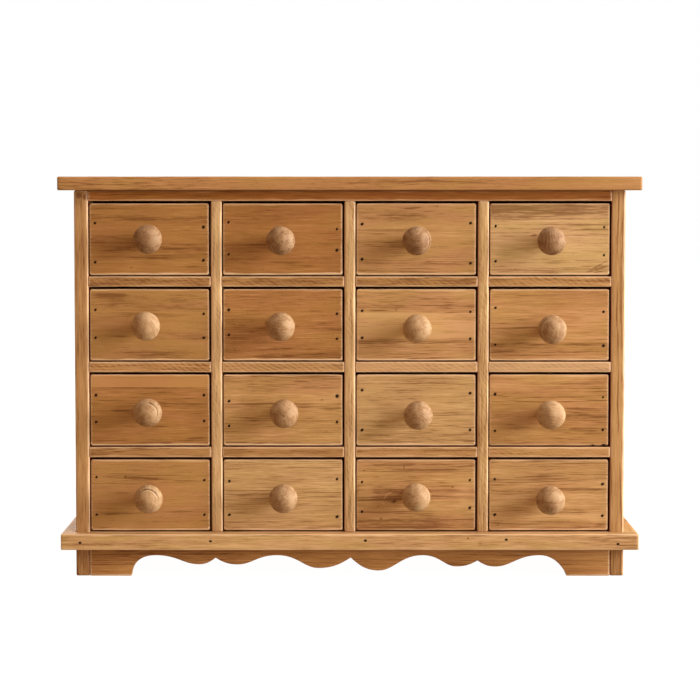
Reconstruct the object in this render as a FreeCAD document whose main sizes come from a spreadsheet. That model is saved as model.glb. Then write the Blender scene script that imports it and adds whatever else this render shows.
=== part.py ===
import FreeCAD, Part
import os
import re

import Sketcher
from FreeCAD import Placement, Rotation, Vector

# A tabletop cabinet of sixteen spice drawers, four rows of four, all in millimetres.
# +Z is up and the drawers open towards -Y. The origin is on the floor, under the
# middle of the cabinet's overall box.

ROWS = 4
COLUMNS = 4

# The driving dimensions, kept in the document's sheet under these names.
DIMENSIONS = {
    "carcassWidth": 550.0,  # over the side panels
    "carcassDepth": 170.0,  # front edges to the back panel
    "sideThickness": 14.0,
    "dividerThickness": 11.0,
    "bayFloor": 44.5,  # top face of the bottom board
    "bayHeight": 75.3,
    "shelfThickness": 10.3,
    "innerTopThickness": 10.6,
    "bottomThickness": 10.3,
    "backThickness": 4.0,
    "topThickness": 13.6,
    "topSideOverhang": 15.0,
    "topFrontOverhang": 11.0,
    "topEdgeRadius": 1.6,
    "mouldingHeight": 16.1,
    "mouldingThickness": 13.6,
    "mouldingEdgeRadius": 1.0,
    "drawerRecess": 1.5,  # drawer front behind the carcass front
    "drawerSidePlay": 2.9,  # both sides together
    "drawerSideShift": -0.3,  # the drawers sit a little to the left
    "drawerGapBelow": 1.4,
    "drawerGapAbove": 2.4,
    "drawerRunClearance": 0.2,  # under the drawer's bottom panel
    "drawerBackClearance": 0.5,
    "frontThickness": 10.0,
    "frontEdgeRadius": 1.0,
    "drawerSideThickness": 10.0,
    "drawerSideHeight": 65.0,
    "drawerBackThickness": 8.0,
    "drawerPanelThickness": 4.0,
    "knobRadius": 14.25,
    "knobLength": 35.5,  # from the drawer front to the tip
    "knobWidestAt": 23.0,
    "knobFootRadius": 8.0,
    "knobNeckLength": 10.0,
    "knobNeckEndRadius": 8.2,
    "knobNeckHollow": 9.4,  # radius of the hollow round the neck
    "knobEdgeRadius": 9.0,  # front edge, before the flatter crown
    "knobTenonRadius": 4.75,
    "nailRadius": 0.9,
    "nailLength": 25.0,
    "drawerNailInset": 5.6,  # from the drawer front's end
    "apronThickness": 10.0,
    "apronLeftFoot": 41.3,  # along the floor
    "apronRightFoot": 43.0,
    "apronArchHeight": 20.8,
}

# The scalloped apron has arches between pendants, and each pendant is two rounded lobes
# with a notch between them: where each lobe hangs lowest and how high that is, left then
# right, and the notch's place and height.
PENDANTS = {
    "pendantLeft": (-152.0, 11.6, -134.9, 18.2, -112.5, 11.4),
    "pendantMiddle": (-31.5, 7.8, 0.9, 18.4, 29.0, 5.3),
    "pendantRight": (107.0, 9.4, 128.4, 15.4, 146.4, 9.3),
}
PENDANT_SIZES = ("LobeAcross", "LobeUp", "NotchAcross", "NotchUp", "EndLobeAcross", "EndLobeUp")
ARCH_PEAKS = {
    "archOneAcross": -195.0,
    "archTwoAcross": -73.0,
    "archThreeAcross": 73.5,
    "archFourAcross": 191.0,
}

# The cabinet is hand made, so each drawer differs a little: how far its knob stands from
# the middle of its front, across and up, and how far its nails stand above and below the
# middle, at its upper left, lower left, upper right and lower right.
DRAWERS = {
    "r1c1": (0.8, 0.5, 16.0, 23.0, 12.0, 21.0),
    "r1c2": (-1.3, -1.1, 17.0, 15.0, 10.0, 11.0),
    "r1c3": (0.0, -0.9, 15.0, 20.0, 16.0, 24.0),
    "r1c4": (-0.3, -1.2, 13.0, 22.0, 12.0, 16.0),
    "r2c1": (-1.5, 0.2, 15.0, 13.0, 11.0, 13.0),
    "r2c2": (-1.5, -0.5, 15.0, 10.0, 11.0, 14.0),
    "r2c3": (0.4, -2.4, 14.0, 13.0, 13.0, 14.0),
    "r2c4": (0.7, -3.3, 17.0, 20.0, 13.0, 21.0),
    "r3c1": (-0.1, -0.2, 15.0, 12.0, 15.0, 11.0),
    "r3c2": (1.9, -1.1, 9.0, 16.0, 14.0, 12.0),
    "r3c3": (1.5, -2.9, 20.0, 20.0, 17.0, 20.0),
    "r3c4": (-0.2, -2.6, 16.0, 21.0, 13.0, 20.0),
    "r4c1": (0.1, -0.7, 18.0, 20.0, 15.0, 20.0),
    "r4c2": (0.9, -0.4, 14.0, 20.0, 16.0, 22.0),
    "r4c3": (-0.4, 1.0, 13.0, 17.0, 15.0, 13.0),
    "r4c4": (0.0, -2.0, 16.0, 20.0, 11.0, 21.0),
}
DRAWER_SIZES = (
    "knobAcross",
    "knobUp",
    "nailUpLeft",
    "nailDownLeft",
    "nailUpRight",
    "nailDownRight",
)

# The five nails in the front moulding, each with its height above the floor.
MOULDING_NAILS = {
    "mouldingNailOne": (-269.3, 35.8),
    "mouldingNailTwo": (-139.1, 37.4),
    "mouldingNailThree": (15.5, 38.0),
    "mouldingNailFour": (156.1, 39.0),
    "mouldingNailFive": (267.6, 34.6),
}

# Sizes that follow from the driving dimensions.
FORMULAS = {
    "innerWidth": "carcassWidth - 2 * sideThickness",
    "bayWidth": "(innerWidth - (%d - 1) * dividerThickness) / %d" % (COLUMNS, COLUMNS),
    "bayPitch": "bayWidth + dividerThickness",
    "rowPitch": "bayHeight + shelfThickness",
    "innerTopFloor": "bayFloor + %d * bayHeight + (%d - 1) * shelfThickness" % (ROWS, ROWS),
    "sideHeight": "innerTopFloor + innerTopThickness",
    "frontY": "(knobLength - drawerRecess - carcassDepth - backThickness) / 2",
    "backY": "frontY + carcassDepth",
    "drawerFaceY": "frontY + drawerRecess",
    "drawerInnerY": "drawerFaceY + frontThickness",
    "drawerWidth": "bayWidth - drawerSidePlay",
    "frontHeight": "bayHeight - drawerGapBelow - drawerGapAbove",
    "boxLength": "backY - drawerBackClearance - drawerInnerY",
    "bottomUnderside": "bayFloor - bottomThickness",
    "mouldingFloor": "bayFloor - mouldingHeight",
    "knobCrownDepth": "knobLength - knobWidestAt",
    "knobCrownRadius": "((knobRadius - knobEdgeRadius) ^ 2 + knobCrownDepth ^ 2 - knobEdgeRadius ^ 2)"
    " / (2 * (knobCrownDepth - knobEdgeRadius))",
    "knobEdgeShare": "knobCrownRadius / (knobCrownRadius - knobEdgeRadius)",
    "knobRearRadius": "((knobRadius - knobNeckEndRadius) ^ 2 + (knobWidestAt - knobNeckLength) ^ 2)"
    " / (2 * (knobRadius - knobNeckEndRadius))",
}

doc = FreeCAD.newDocument("SpiceDrawerCabinet")
sheet = doc.addObject("Spreadsheet::Sheet", "Dims")


def fillSheet():
    sizes = dict(DIMENSIONS)
    sizes.update(ARCH_PEAKS)
    for name, values in PENDANTS.items():
        sizes.update({name + size: value for size, value in zip(PENDANT_SIZES, values)})
    for name, values in DRAWERS.items():
        sizes.update({size + "_" + name: value for size, value in zip(DRAWER_SIZES, values)})
    for name, (across, up) in MOULDING_NAILS.items():
        sizes[name + "Across"] = across
        sizes[name + "Up"] = up
    for line, (alias, value) in enumerate(sizes.items(), 1):
        sheet.set("A%d" % line, str(value))
        sheet.setAlias("A%d" % line, alias)
    doc.recompute()
    return set(sizes)


ALIASES = fillSheet()


def expand(text):
    # Writes out the named formulas and points each alias at the sheet.
    def term(match):
        word = match.group(0)
        if word in FORMULAS:
            return "(" + expand(FORMULAS[word]) + ")"
        return "Dims." + word if word in ALIASES else word

    return re.sub(r"[A-Za-z]\w*", term, text)


def bind(item, prop, text):
    item.setExpression(prop, expand(text))


def number(text):
    return float(doc.Dims.evalExpression(expand(text)))


def placeAt(item, corner, rotation=Rotation()):
    item.Placement = Placement(Vector(), rotation)
    for axis, text in zip("xyz", corner):
        bind(item, "Placement.Base." + axis, text)


def addBoard(name, size, corner):
    # A plain board, with its length along X, width along Y and height along Z.
    board = doc.addObject("Part::Box", name)
    for prop, text in zip(("Length", "Width", "Height"), size):
        bind(board, prop, text)
    placeAt(board, corner)
    return board


def addGroup(name, items):
    group = doc.addObject("Part::Compound", name)
    group.Links = items
    return group


def cutAway(name, base, tool):
    cut = doc.addObject("Part::Cut", name)
    cut.Base = base
    cut.Tool = tool
    return cut


def originPlane(body, role):
    return next(part for part in body.Origin.OriginFeatures if part.Role == role)


def outlineSketch(body, role, corners, radii):
    # A closed outline on one of the body's origin planes. Each corner is bound to its two
    # sizes, and radii gives the arc that follows a corner: its radius, and 1 or -1 for the
    # side that it bulges to, right or left of the way along.
    sketch = body.newObject("Sketcher::SketchObject", body.Name + "_outline")
    sketch.AttachmentSupport = [(originPlane(body, role), "")]
    sketch.MapMode = "FlatFace"
    points = [Vector(number(x), number(y), 0) for x, y in corners]
    curves = []
    for index, start in enumerate(points):
        end = points[(index + 1) % len(points)]
        if index in radii:
            text, side = radii[index]
            along = end - start
            radius = number(text)
            sagitta = radius - (radius**2 - (along.Length / 2) ** 2) ** 0.5
            outward = Vector(along.y, -along.x, 0).normalize() * side
            middle = (start + end) * 0.5 + outward * sagitta
            curves.append(Part.Arc(start, middle, end))
        else:
            curves.append(Part.LineSegment(start, end))
    sketch.addGeometry(curves, False)

    def endAt(index, point):
        near = sketch.getPoint(index, 1).distanceToPoint(point)
        return 1 if near < sketch.getPoint(index, 2).distanceToPoint(point) else 2

    for index, (x, y) in enumerate(corners):
        before = (index - 1) % len(points)
        here = endAt(index, points[index])
        there = endAt(before, points[index])
        sketch.addConstraint(Sketcher.Constraint("Coincident", before, there, index, here))
        for kind, text, axis in (("DistanceX", x, -2), ("DistanceY", y, -1)):
            if text == "0":
                sketch.addConstraint(Sketcher.Constraint("PointOnObject", index, here, axis))
                continue
            made = sketch.addConstraint(Sketcher.Constraint(kind, index, here, number(text)))
            bind(sketch, "Constraints[%d]" % made, text)
        if index in radii:
            text = radii[index][0]
            made = sketch.addConstraint(Sketcher.Constraint("Radius", index, number(text)))
            bind(sketch, "Constraints[%d]" % made, text)
    return sketch


def addEasedBoard(name, size, corner, radius, isEased):
    # A board with some edges rounded. isEased takes the middle of an edge in the board's
    # own frame, with its lowest corner at the origin, as fractions of the board's size.
    body = doc.addObject("PartDesign::Body", name)
    length, width, height = size
    corners = [("0", "0"), (length, "0"), (length, height), ("0", height)]
    sketch = outlineSketch(body, "XZ_Plane", corners, {})
    pad = body.newObject("PartDesign::Pad", name + "_pad")
    pad.Profile = sketch
    bind(pad, "Length", width)
    pad.Reversed = True
    doc.recompute()
    whole = Vector(number(length), number(width), number(height))
    edges = []
    for index, edge in enumerate(pad.Shape.Edges, 1):
        middle = edge.BoundBox.Center
        if isEased(middle.x / whole.x, middle.y / whole.y, middle.z / whole.z):
            edges.append("Edge%d" % index)
    fillet = body.newObject("PartDesign::Fillet", name + "_easing")
    fillet.Base = (pad, edges)
    bind(fillet, "Radius", radius)
    body.Tip = fillet
    placeAt(body, corner)
    return body


def onFront(x, y, z):
    return y < 0.01


# The ways that a nail is driven, as the turn that lays its axis along them.
DRIVEN = {
    "+X": Rotation(Vector(0, 1, 0), 90),
    "-X": Rotation(Vector(0, 1, 0), -90),
    "+Y": Rotation(Vector(1, 0, 0), -90),
    "-Y": Rotation(Vector(1, 0, 0), 90),
    "+Z": Rotation(),
    "-Z": Rotation(Vector(1, 0, 0), 180),
}


def addNail(name, way, head):
    nail = doc.addObject("Part::Cylinder", name)
    bind(nail, "Radius", "nailRadius")
    bind(nail, "Height", "nailLength")
    placeAt(nail, head, DRIVEN[way])
    return nail


def addCarcass():
    halfWidth = "carcassWidth / 2"
    halfInner = "innerWidth / 2"
    top = addEasedBoard(
        "top_board",
        (
            "carcassWidth + 2 * topSideOverhang",
            "topFrontOverhang + carcassDepth + backThickness",
            "topThickness",
        ),
        ("-carcassWidth / 2 - topSideOverhang", "frontY - topFrontOverhang", "sideHeight"),
        "topEdgeRadius",
        lambda x, y, z: y < 0.99,
    )
    sideSize = ("sideThickness", "carcassDepth", "sideHeight")
    left = addBoard("left_side_panel", sideSize, ("-" + halfWidth, "frontY", "0"))
    right = addBoard("right_side_panel", sideSize, (halfInner, "frontY", "0"))
    innerTop = addBoard(
        "inner_top",
        ("innerWidth", "carcassDepth", "innerTopThickness"),
        ("-" + halfInner, "frontY", "innerTopFloor"),
    )
    bottom = addBoard(
        "bottom_board",
        ("innerWidth", "carcassDepth", "bottomThickness"),
        ("-" + halfInner, "frontY", "bottomUnderside"),
    )
    back = addBoard(
        "back_panel",
        ("carcassWidth", "backThickness", "sideHeight - bottomUnderside"),
        ("-" + halfWidth, "backY", "bottomUnderside"),
    )
    dividers = []
    for place in range(1, COLUMNS):
        dividers.append(
            addBoard(
                "divider_%d" % place,
                ("dividerThickness", "carcassDepth", "innerTopFloor - bayFloor"),
                ("-%s + %d * bayPitch - dividerThickness" % (halfInner, place), "frontY", "bayFloor"),
            )
        )
    shelves = []
    for level in range(1, ROWS):
        for column in range(COLUMNS):
            shelves.append(
                addBoard(
                    "shelf_%d_%d" % (level, column + 1),
                    ("bayWidth", "carcassDepth", "shelfThickness"),
                    (
                        "-%s + %d * bayPitch" % (halfInner, column),
                        "frontY",
                        "bayFloor + %d * rowPitch - shelfThickness" % level,
                    ),
                )
            )
    return [
        top,
        left,
        right,
        innerTop,
        bottom,
        back,
        addGroup("column_dividers", dividers),
        addGroup("drawer_shelves", shelves),
    ]


def addMouldings():
    outer = "carcassWidth / 2 + mouldingThickness"
    front = addEasedBoard(
        "front_moulding",
        ("carcassWidth + 2 * mouldingThickness", "mouldingThickness", "mouldingHeight"),
        ("-(%s)" % outer, "frontY - mouldingThickness", "mouldingFloor"),
        "mouldingEdgeRadius",
        onFront,
    )
    sideSize = ("mouldingThickness", "carcassDepth + backThickness", "mouldingHeight")
    sides = []
    for name, across, outside in (
        ("left_moulding", "-(%s)" % outer, 0.0),
        ("right_moulding", "carcassWidth / 2", 1.0),
    ):
        sides.append(
            addEasedBoard(
                name,
                sideSize,
                (across, "frontY", "mouldingFloor"),
                "mouldingEdgeRadius",
                lambda x, y, z, outside=outside: abs(x - outside) < 0.01 and 0.01 < y < 0.99,
            )
        )
    return [front, addGroup("side_mouldings", sides)]


def flatSpline(start, startLead, end, endLead):
    # One curve in the apron's own plane, which leaves and arrives along the given leads.
    curve = Part.BezierCurve()
    curve.setPoles([start, start + startLead, end + endLead, end])
    return curve.toShape()


def scallopEdges():
    # The apron's lower edge from the left foot to the right one. Arches and lobes are level
    # where they are highest and lowest, and a notch is a sharp corner.
    arch = number("apronArchHeight")
    leftFoot = Vector(number("-innerWidth / 2 + apronLeftFoot"), 0, 0)
    rightFoot = Vector(number("innerWidth / 2 - apronRightFoot"), 0, 0)
    peaks = [Vector(number(name), 0, arch) for name in ARCH_PEAKS]
    edges = []

    def addCurve(start, startLead, end, endLead):
        edges.append(flatSpline(start, startLead, end, endLead))

    def level(start, end, share):
        # A lead along the level, a share of the way across to the other point.
        return Vector((end.x - start.x) * share, 0, 0)

    def steep(start, end, across=0.3, up=0.6):
        # A lead from a notch or a foot's corner, steeper than the way to the other point.
        return Vector((end.x - start.x) * across, 0, (end.z - start.z) * up)

    first = steep(leftFoot, peaks[0], 0.06, 0.58)
    addCurve(leftFoot, first, peaks[0], level(peaks[0], leftFoot, 0.68))
    for index, name in enumerate(PENDANTS):
        lobeX, lobeZ, notchX, notchZ, endX, endZ = (number(name + size) for size in PENDANT_SIZES)
        lobe = Vector(lobeX, 0, lobeZ)
        notch = Vector(notchX, 0, notchZ)
        endLobe = Vector(endX, 0, endZ)
        before = peaks[index]
        after = peaks[index + 1]
        addCurve(before, level(before, lobe, 0.5), lobe, level(lobe, before, 0.35))
        addCurve(lobe, level(lobe, notch, 0.45), notch, steep(notch, lobe))
        addCurve(notch, steep(notch, endLobe), endLobe, level(endLobe, notch, 0.45))
        addCurve(endLobe, level(endLobe, after, 0.35), after, level(after, endLobe, 0.5))
    last = steep(rightFoot, peaks[-1], 0.13, 0.46)
    addCurve(peaks[-1], level(peaks[-1], rightFoot, 0.5), rightFoot, last)
    return leftFoot, edges, rightFoot


def addApron():
    # Its outline has free curves, so it is made with Part's own functions.
    half = number("innerWidth / 2")
    height = number("bottomUnderside")
    leftFoot, edges, rightFoot = scallopEdges()
    rim = [
        rightFoot,
        Vector(half, 0, 0),
        Vector(half, 0, height),
        Vector(-half, 0, height),
        Vector(-half, 0, 0),
        leftFoot,
    ]
    for start, end in zip(rim, rim[1:]):
        edges.append(Part.makeLine(start, end))
    face = Part.Face(Part.Wire(Part.__sortEdges__(edges)))
    apron = doc.addObject("Part::Feature", "scalloped_apron")
    apron.Shape = face.extrude(Vector(0, number("apronThickness"), 0))
    apron.Placement = Placement(Vector(0, number("frontY"), 0), Rotation())
    return apron


def depthAt(share):
    return "frontY + %s * carcassDepth" % share


def addCarcassNails():
    # The nails that hold the case together: (way driven, x, y and z of the head).
    drive = []
    outerSide = "carcassWidth / 2"
    sideMiddle = "(carcassWidth / 2 - sideThickness / 2)"
    backFace = "backY + backThickness"
    topFace = "sideHeight + topThickness"
    mouldingMiddle = "mouldingFloor + mouldingHeight / 2"
    innerTopMiddle = "innerTopFloor + innerTopThickness / 2"
    bottomMiddle = "bayFloor - bottomThickness / 2"
    mouldingFace = "frontY - mouldingThickness"
    for name in MOULDING_NAILS:
        drive.append(("+Y", name + "Across", mouldingFace, name + "Up"))
    for sign, inward in (("-", "+X"), ("", "-X")):
        mouldingSide = "%s(carcassWidth / 2 + mouldingThickness)" % sign
        for share in (0.2, 0.5, 0.8):
            drive.append((inward, mouldingSide, depthAt(share), mouldingMiddle))
            drive.append(("-Z", sign + sideMiddle, depthAt(share), topFace))
        for share in (0.1, 0.42, 0.9):
            drive.append((inward, sign + outerSide, depthAt(share), innerTopMiddle))
            drive.append((inward, sign + outerSide, depthAt(share), bottomMiddle))
        for level in range(1, ROWS):
            shelfMiddle = "bayFloor + %d * rowPitch - shelfThickness / 2" % level
            for share in (0.15, 0.85):
                drive.append((inward, sign + outerSide, depthAt(share), shelfMiddle))
            bayMiddle = "bayFloor + (%d - 0.5) * rowPitch" % level
            drive.append(("-Y", sign + sideMiddle, backFace, bayMiddle))
    for place in range(1, COLUMNS):
        middle = "-innerWidth / 2 + %d * bayPitch - dividerThickness / 2" % place
        for share in (0.25, 0.75):
            drive.append(("-Z", middle, depthAt(share), "sideHeight"))
            drive.append(("+Z", middle, depthAt(share), "bottomUnderside"))
    for place in range(5):
        across = "(%d - 2) * carcassWidth / 5" % place
        drive.append(("-Y", across, backFace, innerTopMiddle))
        drive.append(("-Y", across, backFace, bottomMiddle))
    nails = []
    for index, (way, x, y, z) in enumerate(drive, 1):
        nails.append(addNail("carcass_nail_%d" % index, way, (x, y, z)))
    return addGroup("carcass_nails", nails)


def addKnob(name, x, z):
    # Turned in one piece with the tenon that is glued into the drawer front. Its outline
    # starts at the tenon's end on the axis and runs out to the tip.
    body = doc.addObject("PartDesign::Body", name)
    inner = "frontThickness"
    edgeX = "(knobRadius - knobEdgeRadius) * knobEdgeShare"
    edgeY = (
        "%s + knobLength - knobCrownRadius"
        " + (knobCrownRadius - knobCrownDepth) * knobEdgeShare" % inner
    )
    corners = [
        ("0", "0"),
        ("knobTenonRadius", "0"),
        ("knobTenonRadius", inner),
        ("knobFootRadius", inner),
        ("knobNeckEndRadius", inner + " + knobNeckLength"),
        ("knobRadius", inner + " + knobWidestAt"),
        (edgeX, edgeY),
        ("0", inner + " + knobLength"),
    ]
    radii = {
        3: ("knobNeckHollow", -1),
        4: ("knobRearRadius", 1),
        5: ("knobEdgeRadius", 1),
        6: ("knobCrownRadius", 1),
    }
    sketch = outlineSketch(body, "XY_Plane", corners, radii)
    turning = body.newObject("PartDesign::Revolution", name + "_turning")
    turning.Profile = sketch
    turning.ReferenceAxis = (sketch, ["V_Axis"])
    turning.Angle = 360
    body.Tip = turning
    placeAt(body, (x, "drawerInnerY", z), Rotation(Vector(0, 0, 1), 180))
    return body


def addDrawer(row, column):
    tag = "r%dc%d" % (row, column)
    middleX = "(%d - %s) * bayPitch + drawerSideShift" % (column, (COLUMNS + 1) / 2)
    floor = "bayFloor + %d * rowPitch" % (ROWS - row)
    frontFloor = floor + " + drawerGapBelow"
    middleZ = frontFloor + " + frontHeight / 2"
    left = middleX + " - drawerWidth / 2"
    right = middleX + " + drawerWidth / 2"
    knobX = middleX + " + knobAcross_" + tag
    knobZ = middleZ + " + knobUp_" + tag

    blank = addEasedBoard(
        "front_blank_" + tag,
        ("drawerWidth", "frontThickness", "frontHeight"),
        (left, "drawerFaceY", frontFloor),
        "frontEdgeRadius",
        onFront,
    )
    knobHole = doc.addObject("Part::Cylinder", "knob_hole_" + tag)
    bind(knobHole, "Radius", "knobTenonRadius")
    bind(knobHole, "Height", "frontThickness")
    placeAt(knobHole, (knobX, "drawerFaceY", knobZ), DRIVEN["+Y"])

    nailsLeft = []
    nailsRight = []
    for side, x, nails in (
        ("Left", left + " + drawerNailInset", nailsLeft),
        ("Right", right + " - drawerNailInset", nailsRight),
    ):
        for height, sign in (("Up", "+"), ("Down", "-")):
            z = "%s %s nail%s%s_%s" % (middleZ, sign, height, side, tag)
            name = "nail_%s_%s_%s" % (height.lower(), side.lower(), tag)
            nails.append(addNail(name, "+Y", (x, "drawerFaceY", z)))
    holes = addGroup("front_holes_" + tag, [knobHole] + nailsLeft + nailsRight)
    front = cutAway("drawer_front_" + tag, blank, holes)

    panelFloor = floor + " + drawerRunClearance"
    wallFloor = panelFloor + " + drawerPanelThickness"
    sideSize = ("drawerSideThickness", "boxLength", "drawerSideHeight")
    walls = []
    for side, x, nails in (
        ("left", left, nailsLeft),
        ("right", right + " - drawerSideThickness", nailsRight),
    ):
        board = addBoard("%s_board_%s" % (side, tag), sideSize, (x, "drawerInnerY", wallFloor))
        holes = addGroup("%s_holes_%s" % (side, tag), nails)
        walls.append(cutAway("%s_wall_%s" % (side, tag), board, holes))
    back = addBoard(
        "back_wall_" + tag,
        ("drawerWidth - 2 * drawerSideThickness", "drawerBackThickness", "drawerSideHeight"),
        (
            left + " + drawerSideThickness",
            "drawerInnerY + boxLength - drawerBackThickness",
            wallFloor,
        ),
    )
    panel = addBoard(
        "panel_" + tag,
        ("drawerWidth", "boxLength", "drawerPanelThickness"),
        (left, "drawerInnerY", panelFloor),
    )
    box = addGroup("drawer_box_" + tag, walls + [back, panel] + nailsLeft + nailsRight)
    return [front, box, addKnob("knob_" + tag, knobX, knobZ)]


def checkDocument(pieces):
    failed = [item.Label for item in doc.Objects if {"Invalid", "Error"} & set(item.State)]
    for piece in pieces:
        if piece.Shape.isNull() or not piece.Shape.isValid() or not piece.Shape.Solids:
            failed.append(piece.Label)
    if failed:
        raise RuntimeError("these objects failed: " + ", ".join(sorted(set(failed))))


def main():
    pieces = addCarcass() + addMouldings() + [addApron(), addCarcassNails()]
    for row in range(1, ROWS + 1):
        for column in range(1, COLUMNS + 1):
            pieces += addDrawer(row, column)
    doc.recompute()
    checkDocument(pieces)
    os.makedirs("parts", exist_ok=True)
    for piece in pieces:
        piece.Shape.exportStep("parts/%s.step" % piece.Label)
    whole = pieces[0].Shape.BoundBox
    for piece in pieces[1:]:
        whole.add(piece.Shape.BoundBox)
    print(len(pieces), "sub-parts", whole)


main()
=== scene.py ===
import math
import random

import bmesh
import bpy
from mathutils import Matrix, Vector, noise


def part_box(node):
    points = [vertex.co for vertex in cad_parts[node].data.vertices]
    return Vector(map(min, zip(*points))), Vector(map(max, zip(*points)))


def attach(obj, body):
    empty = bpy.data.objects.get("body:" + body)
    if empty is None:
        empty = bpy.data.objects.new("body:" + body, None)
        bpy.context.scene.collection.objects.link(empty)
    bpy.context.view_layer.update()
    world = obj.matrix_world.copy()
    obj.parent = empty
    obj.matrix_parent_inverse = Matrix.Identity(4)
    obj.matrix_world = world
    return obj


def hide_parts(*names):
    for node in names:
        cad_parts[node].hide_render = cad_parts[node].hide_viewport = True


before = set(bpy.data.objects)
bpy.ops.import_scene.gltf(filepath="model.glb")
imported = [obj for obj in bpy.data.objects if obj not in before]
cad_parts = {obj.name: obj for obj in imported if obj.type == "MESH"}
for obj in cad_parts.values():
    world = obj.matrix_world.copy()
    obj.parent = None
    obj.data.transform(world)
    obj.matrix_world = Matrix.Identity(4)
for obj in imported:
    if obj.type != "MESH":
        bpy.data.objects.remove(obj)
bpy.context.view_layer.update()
print("frame loaded:", len(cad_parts), "nodes")

axisNumber = {"X": 0, "Y": 1, "Z": 2}
tau = 2 * math.pi
milli = 0.001
fixedSeed = 4016
noise.seed_set(fixedSeed)  # without a seed this noise follows the clock


def operator(operation):
    # an operator on wires and its reflected form, so that 1 - mask works
    def direct(self, other):
        return self.maths(operation, self, other)

    def reflected(self, other):
        return self.maths(operation, other, self)

    return direct, reflected


class Wire:  # one output of a node, so that patterns can be written as sums
    def __init__(self, recipe, socket):
        self.recipe = recipe
        self.socket = socket

    def maths(self, operation, *values):
        return self.recipe.node("ShaderNodeMath", {"operation": operation}, dict(enumerate(values)))

    __add__, __radd__ = operator("ADD")
    __sub__, __rsub__ = operator("SUBTRACT")
    __mul__, __rmul__ = operator("MULTIPLY")
    __truediv__, __rtruediv__ = operator("DIVIDE")
    __pow__, __rpow__ = operator("POWER")
    atLeast = operator("MAXIMUM")[0]
    atMost = operator("MINIMUM")[0]

    def through(self, operation):  # a function of the wire alone
        return self.maths(operation, self)

    def __abs__(self):
        return self.through("ABSOLUTE")

    def step(self, low, high):  # 0 below low, 1 above high, smooth between
        return self.recipe.node(
            "ShaderNodeMapRange", {"interpolation_type": "SMOOTHSTEP"},
            {"Value": self, "From Min": low, "From Max": high},
        )


class Recipe:  # the node tree of one finish, or of the sky
    def __init__(self, holder):
        self.holder = holder
        holder.use_nodes = True
        self.tree = holder.node_tree
        self.tree.nodes.clear()
        self.attributes = {}

    def node(self, kind, settings=None, values=None, output=0):
        made = self.tree.nodes.new(kind)
        for key, value in (settings or {}).items():
            setattr(made, key, value)
        for key, value in (values or {}).items():
            if isinstance(value, Wire):
                self.tree.links.new(value.socket, made.inputs[key])
            else:
                made.inputs[key].default_value = value
        if output == "all":
            return [Wire(self, socket) for socket in made.outputs]
        return Wire(self, made.outputs[output]) if made.outputs else None

    def attribute(self, name, output="Vector"):
        if name not in self.attributes:
            made = self.node("ShaderNodeAttribute", {"attribute_name": name}, output=output)
            self.attributes[name] = made
        return self.attributes[name]

    def vector(self, x, y, z=0.0):
        return self.node("ShaderNodeCombineXYZ", values={0: x, 1: y, 2: z})

    def parts(self, vector):
        return self.node("ShaderNodeSeparateXYZ", values={0: vector}, output="all")

    def vectorMaths(self, operation, *values, output=0):
        settings = {"operation": operation}
        return self.node("ShaderNodeVectorMath", settings, dict(enumerate(values)), output)

    def scaled(self, vector, factor):
        return self.node(
            "ShaderNodeVectorMath", {"operation": "SCALE"}, {"Vector": vector, "Scale": factor}
        )

    def length(self, vector):
        return self.vectorMaths("LENGTH", vector, output="Value")

    def fromEdges(self, local):
        # how far a point is from its board's ends, sides and faces
        size = self.vectorMaths("ABSOLUTE", local)
        return self.parts(self.vectorMaths("SUBTRACT", self.attribute("half"), size))

    def blend(self, mask, first, second, kind="MIX"):
        # the colour sockets of a Mix node are its seventh and eighth inputs
        return self.node(
            "ShaderNodeMix", {"data_type": "RGBA", "blend_type": kind},
            {"Factor": mask, 6: first, 7: second}, output=2,
        )

    def cloud(self, place, detail=2.0, roughness=0.5):
        values = {"Vector": place, "Scale": 1.0, "Detail": detail, "Roughness": roughness}
        return self.node("ShaderNodeTexNoise", values=values)

    def drawnOut(self, local, away, lengthwise, crosswise, *more):
        # a cloud drawn out along the grain
        scale = (1 / lengthwise, 1 / crosswise, 1 / crosswise)
        return self.cloud(self.vectorMaths("MULTIPLY_ADD", local, scale, away), *more)

    def grainCloud(self, lengthwise, crosswise, seed, *more):
        # each board cuts its own place out of the cloud
        spread, seeds = (61.0, 83.0, 97.0), (seed, seed, seed)
        away = self.vectorMaths("MULTIPLY_ADD", self.attribute("log"), spread, seeds)
        return self.drawnOut(self.attribute("local"), away, lengthwise, crosswise, *more)

    def finish(self, shader, kind="ShaderNodeOutputMaterial"):
        self.node(kind, values={"Surface": shader})
        return self.holder

    def painted(self, colour, roughness, height, strength, distance, others):
        # the finished material, with a bump of that strength and distance
        relief = {"Strength": strength, "Distance": distance, "Height": height}
        bump = self.node("ShaderNodeBump", values=relief)
        values = {"Base Color": colour, "Roughness": roughness, "Normal": bump, **others}
        return self.finish(self.node("ShaderNodeBsdfPrincipled", values=values))


def newFinish(name):
    return Recipe(bpy.data.materials.new(name))


# softwood under clear varnish, each tone named for its middle colour
woodTones = {
    "chestnut": (0.350, 0.128, 0.024),
    "russet": (0.363, 0.159, 0.044),
    "amber": (0.396, 0.182, 0.055),
    "honey": (0.451, 0.231, 0.080),
    "tan": (0.495, 0.268, 0.104),
    "straw": (0.539, 0.319, 0.133),
    "palestraw": (0.583, 0.370, 0.163),
}
paleShare = (1.28, 1.40, 1.62)  # the palest wood of a board against its middle colour
darkShare = (0.50, 0.40, 0.33)
rosyCast = (1.03, 0.95, 0.99, 1.0)
goldenCast = (1.00, 1.00, 0.86, 1.0)
# pale rubbed wood, which also paints the highlight on eased edges
wearAndHighlightColour = (0.86, 0.60, 0.37, 1.0)
# nearly black, for stains and for painted shade
stainAndShadeColour = (0.020, 0.006, 0.002, 1.0)
# painted shade in the gaps round the drawer fronts
gapShadeColour = (0.120, 0.014, 0.005, 1.0)
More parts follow.
